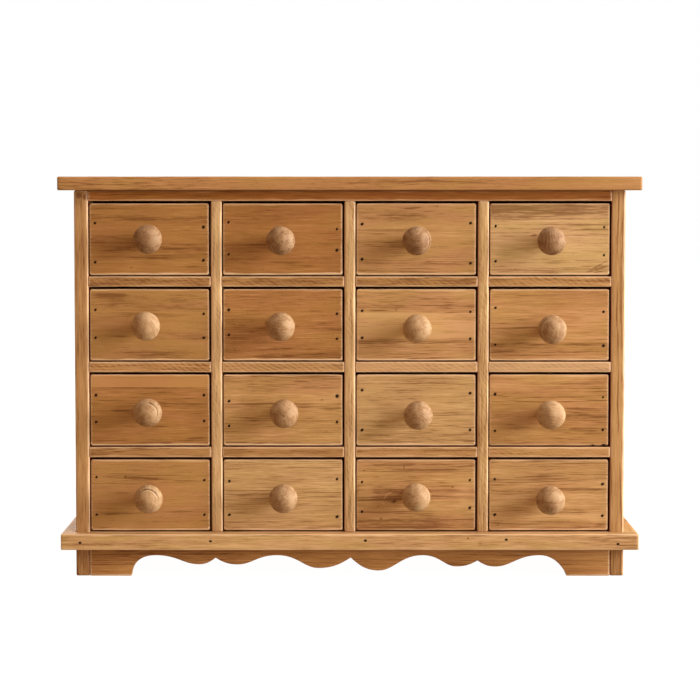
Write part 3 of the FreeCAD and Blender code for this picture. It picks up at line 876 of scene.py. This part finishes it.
frontStreaks = {
    "r1c1": [
        (5, 29.5, 80, 5, 30), (-10, 20, 60, 5, 35), (33, 9, 28, 2.4, 45), (28, -9.5, 44, 3.6, 45),
        (-30, -10, 50, 3, 30), (-5, -18.5, 76, 3.6, 50), (30, -20, 50, 2.4, 30),
        (45, -28, 30, 5, 35), (-18, -28, 3, 3, 80), (-35, -34, 52, 3, -90),
        (25, -33.5, 60, 2, -50), (35, -35, 40, 1.6, 80),
    ],
    "r1c2": [
        (5, -12.5, 42, 4, 45), (-25, -6, 50, 3, 30), (20, -27, 62, 4, 35), (-20, 28, 60, 3, 20),
        (10, 17, 70, 2, 20), (-15, 4, 8, 3, 40), (-45, 3, 14, 12, -15),
    ],
    "r1c3": [
        (-4, 31, 28, 2.4, 90, 0.05), (-25, 24.5, 36, 2.6, 50, 0.05), (22, 33, 26, 2.2, 55),
        (21, 33, 4, 4, 70), (-38, 5.5, 46, 1.8, 60), (38, 5.5, 46, 1.8, 50),
        (-35, -3.5, 44, 1.8, 40), (-5, -13.5, 112, 1.8, 35), (-5, -29.5, 112, 2, 50),
        (0, -33, 116, 1.6, 60), (-10, -31, 90, 1.6, -50), (45, 30.5, 30, 1.6, 40),
        (45, 17, 30, 1.6, 30), (12, -21, 4, 3, 40),
    ],
    "r1c4": [
        (0, 17.6, 118, 2.2, -60), (20, 14.3, 90, 1.8, 40), (-48, 14, 24, 1.8, 40),
        (10, 3, 100, 1.8, 45), (-16, 3.6, 10, 3, 110, 0.15), (-35, 3, 46, 2, 40),
        (0, -14, 110, 1.8, 30), (-10, -23, 90, 2, 25), (36, 33, 14, 8, 20), (25, 25, 70, 4, 12),
        (-20, 22, 70, 1.6, 30), (50, -26, 26, 2.4, 100, 0.5), (52, -29.5, 24, 2.2, 130, 0.35),
        (46, -30, 24, 2, 80, 0.3), (50, -33, 26, 2.4, 120, 0.2), (40, -33, 14, 1.8, 70, 0.2),
        (42, -35, 34, 1.6, -120),
    ],
    "r2c1": [
        (-40, 29.5, 44, 6, 85), (38, 29.5, 50, 4, 40), (-35, -10.5, 50, 5, 50),
        (38, -10, 56, 5, 50), (0, -32.6, 112, 2, 40), (-40, 2, 40, 14, -25), (35, 0, 50, 10, -20),
        (0, -27, 110, 2.4, 20),
    ],
    "r2c2": [
        (0, 23, 116, 1.8, 45), (-30, 15, 54, 2, 40), (-30, 11, 54, 2.4, 45),
        (5, -24, 112, 3.2, 55), (-8, -31, 74, 5, 55), (-10, -17.5, 70, 3, 40), (35, 10, 40, 2, 30),
        (-17, 3, 2.5, 5, 80), (-48, -24, 5, 3, 60),
    ],
    "r2c3": [
        (-38, 15, 44, 2.2, 80), (-20, 15.2, 4, 3, 80), (25, 13.2, 62, 2.2, 60),
        (0, 20, 110, 1.8, 30), (0, 26, 100, 3, 20), (0, -22, 112, 2.2, 40), (0, -28.5, 106, 4, 40),
        (10, -33, 96, 1.8, 70), (25, 5, 66, 3, -35), (-35, -4.5, 44, 2, 35), (35, -7, 50, 2, 30),
        (-40, 5, 44, 6, -25),
    ],
    "r2c4": [
        (10, 15.4, 96, 1.8, 40), (-35, 5, 52, 2.2, 45), (-28, -3, 44, 4, 40),
        (48, 2.6, 30, 2.4, 50), (40, -3, 44, 2, 40), (38, -13, 50, 6, -40),
        (-18, -20.5, 56, 3, 45, 0.04), (-42, -26.5, 28, 5, 50, 0.1), (-10, -31, 70, 1.6, 45),
        (5, -35.2, 60, 1.6, 90), (-45, 34, 26, 1.6, 70, 0.1), (-50, -12, 18, 5, -30),
    ],
    "r3c1": [
        (0, 24.8, 130, 2.4, -110), (0, 22.6, 124, 2, 90), (-28, -1.5, 32, 3.4, 75),
        (-45, 9, 32, 1.8, 40), (32, 6, 50, 2, 40), (-25, -13, 62, 2.2, 35),
        (46, -29, 34, 9, 50, 0.1), (10, -33.2, 100, 2, 70), (-45, -18, 24, 2, 45),
        (48, -4, 26, 1.8, 50), (25, -24, 50, 2, 30),
    ],
    "r3c2": [
        (18, 29.5, 30, 2.8, 70), (-5, 6.3, 112, 2, 60), (50, 0.5, 24, 3.4, 70),
        (32, -7, 60, 2, 45), (25, -11, 46, 1.8, 40), (-42, -8, 40, 2, 50), (-28, -11, 40, 2.2, 40),
        (39, 10, 5, 5, 50), (20, -27, 80, 2, 30), (55, 14.5, 4, 4, 70), (0, 13, 90, 1.8, 30),
        (-40, 24, 40, 2, 30), (-30, -20, 60, 10, -15),
    ],
    "r3c3": [
        (12, 28, 96, 2.2, 55, -0.04), (20, 31.5, 80, 1.8, 40, -0.02), (-25, 13, 50, 1.8, 35, 0.12),
        (-45, 0.5, 30, 1.8, 30), (40, -10.5, 42, 2.4, 75), (-35, -10.5, 50, 2.6, 65),
        (-10, -15.5, 110, 2, 50), (40, -16, 36, 1.8, 50), (30, -5, 60, 1.8, 30, 0.05),
        (15, -30, 50, 1.6, 35, -0.25), (-20, -33, 70, 1.6, 40, 0.03), (0, 20, 90, 1.8, 25, 0.03),
    ],
    "r3c4": [
        (0, 7.5, 118, 2, 60), (14, 12.5, 90, 1.8, 40), (32, 0.5, 50, 2.2, 55),
        (0, -6.5, 118, 2, 65), (-32, -12, 46, 16, 25), (35, -23.5, 64, 2, 60),
        (5, -34.4, 100, 1.8, 50), (45, 8, 44, 12, 15), (0, 25.5, 116, 1.8, 30),
        (0, 31, 116, 1.8, 25), (30, 16, 60, 2, -30),
    ],
    "r4c1": [
        (-15, 17.2, 92, 3.4, 75, -0.03), (35, 14.6, 56, 2.8, 50, -0.04), (-35, -18.5, 62, 4, 65),
        (35, -15.5, 54, 4, 65, 0.05), (40, 34, 56, 3.4, -70, -0.01), (-46, -33.4, 26, 2, 70),
        (-25, 18, 3.4, 4.4, 150), (-30, 2, 50, 5, 20, 0.05), (20, 30, 90, 2, 25),
    ],
    "r4c2": [
        (-10, -5.5, 96, 2, 65), (-35, -9.5, 50, 2, 50), (48, -6, 26, 2.2, 50),
        (-22, -23, 62, 2.2, 50, 0.05), (20, -27, 74, 2, 40, 0.05), (35, -33.4, 50, 2, 80, 0.03),
        (-35, -33.6, 52, 2.2, 60, 0.02), (0, 28, 112, 1.8, 35), (0, 33, 112, 2.4, -45),
        (0, 19, 112, 1.8, 25), (-30, 12, 60, 1.8, 30), (-46, -1, 24, 1.8, 40),
    ],
    "r4c3": [
        (-12, 28.5, 1.4, 10, 100), (-22.5, -6, 5, 3, 220), (-24, -4, 24, 9, 25, 0.1),
        # the second oval on the next line is painted shade, the edge of the knob's shadow
        (-14, 2.5, 18, 1.7, 80, 0.45), (-10, 7, 20, 2.4, 60, 0.45),
        (-31, -1.5, 11, 1.5, -150, 0.9), (-27, 2.6, 12, 1.4, -110, 0.35),
        (-33, -7.5, 9, 1.4, -90, -0.5), (-20, -9.5, 18, 2, 50), (27, 13.4, 22, 3.4, 45),
        (30, 6, 30, 8, 25), (0, 15.5, 110, 1.8, 40), (-45, 9, 26, 3, -50), (0, 20, 110, 1.6, 30),
        (10, 25, 90, 1.6, 25), (45, -11, 30, 3, -45), (20, -26, 80, 2, 40), (0, -33, 110, 2.6, 60),
        (-52, 25, 5, 3, 40), (-10, -18, 90, 1.8, 40), (-47, -4, 22, 18, -20),
    ],
    "r4c4": [
        (-5, 26, 90, 1.8, 30), (0, 18, 104, 1.8, 40), (-38, -13.5, 40, 2.2, 55),
        (-32, -17, 40, 2, 50), (22, -22.5, 70, 5, -65), (0, -28, 118, 2.2, 75),
        (0, -32, 80, 2.6, -35), (52, -31, 20, 7, 45, 0.3), (48, -12, 24, 1.8, 40),
        (30, -18.5, 50, 1.8, 35), (-12, -35, 70, 1.8, 40), (-51, -31, 4, 3, 50),
    ],
}

boxWood = woodFinish("drawerWood", {"tone": "straw", "wearAndHighlight": 0.3, "roughness": 0.6})
panelWood = plywoodFinish("drawerPly", (0.60, 0.42, 0.25), (0.44, 0.27, 0.14))


def nailFinish():
    recipe = newFinish("ironNail")
    place = recipe.node("ShaderNodeTexCoord", output="Object")
    rust = recipe.cloud(recipe.scaled(place, 2600.0), 3.0)
    black, brown = (0.012, 0.004, 0.002, 1.0), (0.036, 0.011, 0.004, 1.0)
    colour = recipe.blend(rust.step(0.4, 0.7), black, brown)
    others = {"Metallic": 0.10 - rust * 0.1, "Specular IOR Level": 0.1}
    return recipe.painted(colour, 0.66 + rust * 0.3, rust, 0.4, 0.0001, others)


ironNail = nailFinish()
nail = {"radius": 0.0011, "tip": 0.55, "length": 0.025, "proud": 0.00015, "dome": 0.4}


def drivenNail(head, way):
    # a round nail with a slightly domed head, driven from head along way
    shape = bmesh.new()
    bmesh.ops.create_cone(
        shape, cap_ends=True, segments=12, radius1=nail["radius"] * nail["tip"],
        radius2=nail["radius"], depth=nail["length"],
    )
    crown = [line for line in shape.edges if min(v.co.z for v in line.verts) > 0]
    bevel(shape, crown, nail["radius"] * nail["dome"], 2)
    lift = nail["proud"] - nail["length"] / 2
    bmesh.ops.translate(shape, vec=(0.0, 0.0, lift), verts=shape.verts)
    turn = (-Vector(way)).to_track_quat("Z", "Y").to_matrix().to_4x4()
    bmesh.ops.transform(shape, matrix=Matrix.Translation(head) @ turn, verts=shape.verts)
    return meshOf(shape, "nail", sharp=60)


knob = {
    "radius": 0.01425,
    "length": 0.0355,
    "widestAt": 0.023,
    "foot": 0.008,
    "neckLength": 0.010,
    "neckEnd": 0.0082,
    "neckHollow": 0.0094,
    "edge": 0.009,
    "crown": 0.0146875,
    "rear": 0.01699,
    "tenon": 0.00475,
    "tenonLength": 0.010,
    "sides": 44,
    "grooveDepth": 0.0005,
    "grooveHalfWidth": 0.00045,
}
# beech, each tone named for its look: the pale wood, its dark rings and its end grain
beechTones = {
    "brown": ((0.365, 0.224, 0.117), (0.245, 0.123, 0.054), (0.90, 0.79, 0.68)),
    "tan": ((0.450, 0.290, 0.154), (0.320, 0.172, 0.078), (0.90, 0.79, 0.68)),
    "pale": ((0.500, 0.330, 0.178), (0.370, 0.208, 0.098), (0.92, 0.82, 0.70)),
}
# each knob's tone, and the ovals on its face, dark above nothing and pale below it
knobLooks = {
    "r1c1": ("brown", [(-2.5, 4, 3, 2, 60, 0.9), (-0.7, -2.5, 6, 1.4, 50, 1.5)]),
    "r1c2": ("brown", [
        (1.5, -0.5, 3.4, 3, 90), (2, 9, 5, 3, 80, 0.8), (5, 7, 4, 2, 60, -0.5),
        (2, -10.5, 7, 3, 90, 0.1), (-3, 4, 6, 2, 40, 1.2), (4, 2, 10, 4, -40, 1.3),
        (10, -1, 20, 7, -90, 1.5),
    ]),
    "r1c3": ("brown", [
        (-2, -8, 14, 9, 70, 0.6), (0.5, 0, 7, 1.6, 50, -0.6), (0, 7, 12, 5, -40, -0.4),
        (9, -1, 20, 7, 50, 1.5),
    ]),
    "r1c4": ("brown", [
        (-7, 1, 22, 1.2, 70, 1.45), (-4, 2, 24, 1.1, 60, 1.5), (-1, 4, 16, 1.0, 60, 1.6),
        (-5.5, 1, 22, 1.0, -40, 1.5), (-2.5, 2, 22, 1.0, -40, 1.5), (3, -0.5, 2.4, 2.2, 130),
        (5, 1, 18, 1.2, 40, 1.4), (2, -12, 14, 3, 60, 0.1),
    ]),
    "r2c1": ("pale", [(-2, -2.5, 5, 1.4, 35, 0.4), (-1, -4, 4, 3, 25)]),
    "r2c2": ("tan", [
        (4, 10, 9, 1.3, 100, -0.5), (1, 8.5, 8, 1.2, 70, -0.5), (8, 7.5, 6, 1.2, 80, -0.7),
        (0.7, -2.2, 2.4, 2, 90), (3, -5, 9, 1.2, 50, -0.4), (-4, -6, 8, 5, 40, 0.5),
        (5, 3, 12, 4, -20, -0.6),
    ]),
    "r2c3": ("pale", [
        (0, 7, 9, 5, -50, 1.3), (-1, -0.7, 7, 1.2, 70, 0.1), (6, -1, 16, 1.2, 35, 1.4),
    ]),
    "r2c4": ("tan", [
        (8, 0, 22, 8, 45, 1.5), (-6, 4.7, 2.4, 2, 90), (2.5, -4, 9, 1.6, 70, 1.5),
        (-7, -2, 12, 7, 35, 1.4), (5, 4, 10, 6, -60, 1.2), (0, 2, 6, 1.4, 40, 0.4),
        (7, -3, 6, 1.4, 40, 0.9),
    ]),
    "r3c1": ("tan", [(-4.5, -10, 9, 4, 80, -0.2), (-3, 2, 12, 7, -20, 1.4)]),
    "r3c2": ("tan", [(0, -1, 2.4, 2.2, 220), (-2.5, 0.2, 5, 1.0, 80, -0.3)]),
    "r3c3": ("tan", [
        (-2, -8, 12, 4, 50, 0.1), (4, 2, 8, 1.6, 40, 0.7), (-5, 3, 8, 2, 30, 1.0),
        (2, -3, 7, 1.4, 40, -0.4), (6, 6, 8, 3, -40, -0.8),
    ]),
    "r3c4": ("pale", [(1.5, -1, 2.4, 1.8, 50), (1.5, -10, 9, 3, 60, 0.1), (7, 0, 22, 8, 40, 1.5)]),
    "r4c1": ("pale", [(-2, -3, 5, 2, 35, 1.0), (-6, -9, 8, 4, 40, 0.5)]),
    "r4c2": ("tan", [
        (-1, 0, 2, 2, 70), (2, -3.5, 9, 4, 40, 0.6), (-3, 5, 9, 5, -40, 1.2),
        (1, 5, 12, 4, -30, -0.9),
    ]),
    "r4c3": ("pale", [(1, 0, 2.2, 2, 60), (0, 2, 14, 1.2, 25, 1.5)]),
    "r4c4": ("tan", [
        (-1, -0.5, 20, 1.5, 90, -0.1), (-4, -7, 9, 1.3, 70, 1.5), (0, -8, 10, 1.3, 70, 1.5),
        (4, -7, 9, 1.3, 60, 1.4), (-1, -6, 16, 9, 45), (4, 7, 12, 6, -60, -0.5),
        (-9, 2, 7, 2, 50, 1.2),
    ]),
}
# turned grooves, painted on one side only as the light shows them, a dark line of shade beside a
# paler lit band: the radius in millimetres, where each shows, in degrees round from the right,
# and its strength in percent
knobGrooves = {
    "r1c3": (12.4, 0, 70), "r2c4": (12.4, 165, 60), "r3c1": (10.8, 35, 100),
    "r4c1": (10.8, 70, 130),
}
cutGrooves = ("r3c1", "r4c1")  # these are deep enough to show in the shape


def knobFinish(name, tone, marks, groove):
    recipe = newFinish(name)
    along, across, deep = recipe.parts(recipe.attribute("local"))
    shift, pithAcross, pithDeep = recipe.parts(recipe.attribute("log"))
    drift = recipe.grainCloud(0.050, 0.010, 5.0)
    fromPith = ((across - pithAcross) ** 2.0 + (deep - pithDeep) ** 2.0) ** 0.5
    part = ((fromPith + (drift - 0.5) * 0.0040) / 0.0031).through("FRACT")
    late = part.step(0.20, 0.90) * (1.0 - part.step(0.90, 1.0))
    mottle = recipe.grainCloud(0.020, 0.0055, 29.0)
    fine = recipe.grainCloud(0.0040, 0.00120, 17.0, 1.0) - 0.5
    pale, dark, endGrain = beechTones[tone]
    darkness = late * mottle.step(0.35, 0.65) * 0.45 + mottle.step(0.40, 0.70) * 0.40 + fine * 0.45
    # the knob is turned the other way round from the front, so across is turned back
    face = recipe.vector(0.0 - across, deep)
    outward = (along - knob["neckLength"]).step(0.0, 0.006)
    for mark in marks:
        mask, depth = patch(recipe, face, (mottle - 0.5) * 0.8 + fine, mark, 0.8)
        darkness = mask * outward * depth + darkness
    # painted shade and highlight of a turned groove, shown only on one side
    if groove:
        size, turn, depth = groove
        rim = recipe.length(face)
        way = (math.cos(math.radians(turn)), math.sin(math.radians(turn)), 0.0)
        toward = recipe.vectorMaths("DOT_PRODUCT", face, way, output="Value")
        paintedSide = (toward / rim).step(0.45, 0.85) * outward * (depth / 100)
        cut, litRidge = (
            1.0 - abs(rim - line * milli).step(0.0002, 0.0008) for line in (size, size - 1.2)
        )
        darkness = (cut - litRidge * 0.8) * paintedSide + darkness
    colour = recipe.blend(darkness.step(-0.5, 0.7) * 1.25 - 0.25, opaque(pale), opaque(dark))
    # end grain on the face of the knob takes in more varnish
    front = ((along - knob["widestAt"]) / (knob["length"] - knob["widestAt"])).atLeast(0.0)
    colour = recipe.blend(front ** 2.0 * 0.70, colour, opaque(endGrain), "MULTIPLY")
    deepest = opaque([share * 0.30 for share in dark])
    colour = recipe.blend((darkness - 0.75).atLeast(0.0).atMost(1.0), colour, deepest)
    colour = recipe.scaled(colour, 0.90 + drift * 0.20)
    roughness = 0.60 + (mottle - 0.5) * 0.2
    height = 0.0 - darkness * 0.6
    return recipe.painted(colour, roughness, height, 0.4, 0.0004, {"Specular IOR Level": 0.25})


def spunKnob(middle, groove, seed):
    # the half outline, drawn out from the axis and swept round it; it starts inside the front
    radius, length, widest = knob["radius"], knob["length"], knob["widestAt"]
    foot, neckEnd, neckLength = knob["foot"], knob["neckEnd"], knob["neckLength"]
    edge, crown = knob["edge"], knob["crown"]
    shape = bmesh.new()
    last = shape.verts.new((0.0, -knob["tenonLength"], 0.0))

    def lineTo(x, y):
        nonlocal last
        last = bmesh.ops.extrude_vert_indiv(shape, verts=[last])["verts"][0]
        last.co = (x, y, 0.0)

    def arcTo(x, y, centre, steps):
        nonlocal last
        begin = last.co.xy - Vector(centre)
        angle = -begin.angle_signed(Vector((x, y)) - Vector(centre))
        last = bmesh.ops.spin(
            shape, geom=[last], cent=(*centre, 0.0), axis=(0.0, 0.0, 1.0), angle=angle,
            steps=steps, use_merge=False,
        )["geom_last"][0]

    lineTo(knob["tenon"], -knob["tenonLength"])
    lineTo(knob["tenon"], 0.0)
    lineTo(foot, 0.0)
    neckMiddle = Vector(((foot + neckEnd) / 2, neckLength / 2))
    chord = Vector((neckEnd - foot, neckLength))
    reach = (knob["neckHollow"] ** 2 - chord.length_squared / 4) ** 0.5
    arcTo(neckEnd, neckLength, neckMiddle + Vector((chord.y, -chord.x)).normalized() * reach, 6)
    arcTo(radius, widest, (radius - knob["rear"], widest), 8)
    share = crown / (crown - edge)
    crownY = length - crown
    arcTo((radius - edge) * share, crownY + (widest - crownY) * share, (radius - edge, widest), 4)
    arcTo(0.0, length, (0.0, crownY), 22)
    bmesh.ops.spin(
        shape, geom=shape.verts[:] + shape.edges[:], cent=(0.0, 0.0, 0.0), axis=(0.0, 1.0, 0.0),
        angle=tau, steps=knob["sides"], use_merge=True,
    )
    bmesh.ops.remove_doubles(shape, verts=shape.verts, dist=0.00002)
    bmesh.ops.recalc_face_normals(shape, faces=shape.faces)
    mesh = meshOf(shape, "knob", sharp=50)
    # its grain runs along its axis
    setVectors(mesh, "local", [vertex.co[n] for vertex in mesh.vertices for n in (1, 0, 2)])
    picker = random.Random(seed)
    angle = picker.uniform(0, tau)
    away = picker.uniform(0.004, 0.022)
    log = [picker.uniform(0.0, 5.0), away * math.cos(angle), away * math.sin(angle)]
    setVectors(mesh, "log", log * len(mesh.vertices))
    for vertex in mesh.vertices:
        off = abs(vertex.co.xz.length - groove)
        if groove and vertex.co.y > widest and off < knob["grooveHalfWidth"]:
            vertex.co.y -= knob["grooveDepth"]
        if vertex.co.y > 0.001:
            vertex.co += noise.noise_vector(vertex.co * 60.0 + Vector(log) * 11.0) * 0.0005
    mesh.transform(Matrix.Translation(middle) @ Matrix.Rotation(math.pi, 4, "Z"))
    return mesh


def frontFinish(tag, nailPlaces):
    picker = random.Random(tag)
    holes = []
    # the dark oval round each nail is partly stain and partly painted shade of its punched hole
    for x, z in nailPlaces:
        size = picker.uniform(4.0, 5.0)
        slope = picker.uniform(0.3, 1.3)
        holes.append((x / milli, z / milli, size, size * picker.uniform(0.7, 0.9), 97, slope))
    marks = {
        "shades": frontShades.get(tag, ()),
        "bands": frontBands.get(tag, ()),
        "knots": frontKnots.get(tag, ()),
        "streaks": frontStreaks[tag],
        "stains": holes + frontStains.get(tag, []),
    }
    return woodFinish("front_" + tag, {**plainFront, **frontLooks[tag]}, marks)


def makeDrawer(row, column):
    tag = f"r{row}c{column}"
    body = "drawer_" + tag
    box = "drawer_box_" + tag
    faceY, innerY, wall = drawers["faceY"], drawers["innerY"], drawers["wall"]
    knobAcross, knobUp, *nailHeights = (value * milli for value in drawers["places"][tag])
    middleX = (column - 2.5) * bayPitch + drawers["shift"]
    floor = case["bayFloor"] + (case["rows"] - row) * rowPitch
    frontFloor = floor + drawers["gapBelow"]
    middleZ = frontFloor + drawers["frontHeight"] / 2
    left = middleX - drawers["width"] / 2
    right = middleX + drawers["width"] / 2
    nailAcross = drawers["width"] / 2 - drawers["nailInset"]
    corners = ((-1, 1), (-1, -1), (1, 1), (1, -1))
    nailPlaces = [(x * nailAcross, z * up) for (x, z), up in zip(corners, nailHeights)]
    front = easedBoard(
        (left, faceY, frontFloor), (right, innerY, frontFloor + drawers["frontHeight"]),
        edge=0.0012, corner=0.0020, uneven=0.00018, cell=0.010,
    )
    wood = frontFinish(tag, nailPlaces)
    joined("front_" + tag, [front], wood, "drawer_front_" + tag, body)

    panelFloor = floor + drawers["runClearance"]
    wallFloor = panelFloor + drawers["panel"]
    wallTop = wallFloor + drawers["wallHeight"]
    backEnd = innerY + drawers["length"]
    backStart = backEnd - drawers["backWall"]
    # the two sides and the back, from low to high corner, with their grain and face
    boards = (
        ((left, innerY, wallFloor), (left + wall, backEnd, wallTop), "Y", "X"),
        ((right - wall, innerY, wallFloor), (right, backEnd, wallTop), "Y", "X"),
        ((left + wall, backStart, wallFloor), (right - wall, backEnd, wallTop), "X", "Y"),
    )
    walls = [
        easedBoard(low, high, grain=grain, face=face, edge=0.0007, cell=0.03)
        for low, high, grain, face in boards
    ]
    joined("walls_" + tag, walls, boxWood, box, body)
    panel = easedBoard(
        (left, innerY, panelFloor), (right, backEnd, wallFloor), face="Z", edge=0.0004, cell=0.03,
    )
    joined("floor_" + tag, [panel], panelWood, box, body)
    heads = [(middleX + x, faceY, middleZ + z) for x, z in nailPlaces]
    nails = [drivenNail(head, (0.0, 1.0, 0.0)) for head in heads]
    joined("nails_" + tag, nails, ironNail, box, body)

    groove = knobGrooves.get(tag)
    cut = groove[0] * milli if tag in cutGrooves else 0.0
    turned = spunKnob((middleX + knobAcross, faceY, middleZ + knobUp), cut, tag)
    wood = knobFinish("knob_" + tag, *knobLooks[tag], groove)
    joined("ball_" + tag, [turned], wood, "knob_" + tag, body)


for row in range(1, case["rows"] + 1):
    for column in range(1, case["columns"] + 1):
        makeDrawer(row, column)
    print("drawers made in row", row)


def caseNails():
    # each nail's head and the way it is driven
    halfWidth = case["halfWidth"]
    sideMiddle = halfWidth - case["side"] / 2
    backFace = case["backY"] + case["backPanel"]
    stripMiddle = (stripLow.z + stripHigh.z) / 2
    innerTopMiddle = (case["innerTopFloor"] + case["topFloor"]) / 2
    bottomMiddle = (case["underside"] + case["bayFloor"]) / 2
    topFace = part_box("top_board")[1].z
    down, up, forward = (0, 0, -1), (0, 0, 1), (0, -1, 0)

    def depthAt(share):
        return case["frontY"] + share * (case["backY"] - case["frontY"])

    driven = [((x, mouldingLow.y, z), (0, 1, 0)) for x, z in mouldingNails]
    for side in (-1, 1):
        inward = (-side, 0, 0)
        for share in (0.2, 0.5, 0.8):
            driven.append(((side * stripHigh.x, depthAt(share), stripMiddle), inward))
            driven.append(((side * sideMiddle, depthAt(share), topFace), down))
        for share in (0.1, 0.42, 0.9):
            for z in (innerTopMiddle, bottomMiddle):
                driven.append(((side * halfWidth, depthAt(share), z), inward))
        for level in range(1, case["rows"]):
            shelfMiddle = case["bayFloor"] + level * rowPitch - case["shelf"] / 2
            for share in (0.15, 0.85):
                driven.append(((side * halfWidth, depthAt(share), shelfMiddle), inward))
            bayMiddle = case["bayFloor"] + (level - 0.5) * rowPitch
            driven.append(((side * sideMiddle, backFace, bayMiddle), forward))
    for place in range(1, case["columns"]):
        middle = bayLeft(place) - case["divider"] / 2
        for share in (0.25, 0.75):
            driven.append(((middle, depthAt(share), case["topFloor"]), down))
            driven.append(((middle, depthAt(share), case["underside"]), up))
    for place in range(-2, 3):
        for z in (innerTopMiddle, bottomMiddle):
            driven.append(((place * 2 * halfWidth / 5, backFace, z), forward))
    return driven


nails = [drivenNail(head, way) for head, way in caseNails()]
joined("caseNails", nails, ironNail, "carcass_nails")
print("case nails driven")

studio = {
    "floorSize": 9.0,
    "floorColour": (0.08, 0.08, 0.08, 1.0),
    "floorGlow": 0.985,
    "skyLight": (0.435, 0.325, 0.220),
    "skyLean": (0.32, 0.66, 0.96),  # how much brighter the sky is on the right than ahead
    "skyEnds": 0.50,  # and overhead or underfoot
    "aim": (0.0, -0.070, 0.20),
    "keyDistance": 4.5,
    "keyTurn": 74,  # degrees to the right of straight on
    "keyRise": 14,
    # where each other lamp is and what it is aimed at, then its size and power
    "topLight": ((0.1, -0.35, 1.9), (0.0, 0.0, 0.3), 1.4, 9.0),
    "backLight": ((-1.2, 2.4, 1.5), (0.0, 0.05, 0.2), 1.6, 30.0),
    "keySize": 3.0,
    "keyPower": 440.0,
}
view = {
    "lens": 105.02,
    "sensor": 36.0,
    "shift": -0.0743,
    "place": (0.0002, -2.106, 0.3865),
    "down": 3.0,  # degrees below level
}


def areaLight(name, place, aim, size, power):
    lamp = bpy.data.lights.new(name, "AREA")
    lamp.shape = "SQUARE"
    lamp.size = size
    lamp.energy = power
    holder = placed(name, lamp)
    holder.location = place
    holder.rotation_euler = (Vector(aim) - Vector(place)).to_track_quat("-Z", "Y").to_euler()


def keyPlace():
    turn = math.radians(studio["keyTurn"])
    rise = math.radians(studio["keyRise"])
    ahead = math.cos(rise)
    way = Vector((math.sin(turn) * ahead, -math.cos(turn) * ahead, math.sin(rise)))
    return Vector(studio["aim"]) + way * studio["keyDistance"]


def makeFloor():
    shape = bmesh.new()
    bmesh.ops.create_grid(shape, x_segments=1, y_segments=1, size=studio["floorSize"])
    recipe = newFinish("paleFloor")
    values = {
        "Base Color": studio["floorColour"],
        "Roughness": 1.0,
        "Specular IOR Level": 0.0,
        "Emission Color": (1.0, 1.0, 1.0, 1.0),
        "Emission Strength": studio["floorGlow"],
    }
    pale = recipe.finish(recipe.node("ShaderNodeBsdfPrincipled", values=values))
    floor = placed("floor", meshOf(shape, "floor", smooth=False), pale)
    floor.visible_diffuse = False
    floor.visible_glossy = False


def makeSky():
    # white where the camera looks, and a warm room to the light that falls on the wood
    world = bpy.data.worlds.new("studioSky")
    bpy.context.scene.world = world
    recipe = Recipe(world)
    aside, ahead, aloft = recipe.parts(recipe.node("ShaderNodeTexCoord", output="Generated"))
    even = abs(aloft) * studio["skyEnds"] + 1.0
    pairs = zip(studio["skyLean"], studio["skyLight"])
    room = recipe.vector(*((aside * lean + even) * light for lean, light in pairs))
    seen = recipe.node("ShaderNodeLightPath", output="Is Camera Ray")
    colour = recipe.blend(seen, room, (1.0, 1.0, 1.0, 1.0))
    sky = recipe.node("ShaderNodeBackground", values={"Color": colour})
    recipe.finish(sky, "ShaderNodeOutputWorld")


def makeCamera():
    camera = bpy.data.cameras.new("camera")
    camera.lens = view["lens"]
    camera.sensor_width = view["sensor"]
    camera.shift_y = view["shift"]
    holder = placed("camera", camera)
    holder.location = view["place"]
    holder.rotation_euler = (math.radians(90 - view["down"]), 0.0, 0.0)
    bpy.context.scene.camera = holder
    bpy.context.scene.view_settings.view_transform = "Standard"


makeFloor()
makeSky()
areaLight("keyLight", keyPlace(), studio["aim"], studio["keySize"], studio["keyPower"])
areaLight("topLight", *studio["topLight"])
areaLight("backLight", *studio["backLight"])
makeCamera()
print("studio set up")
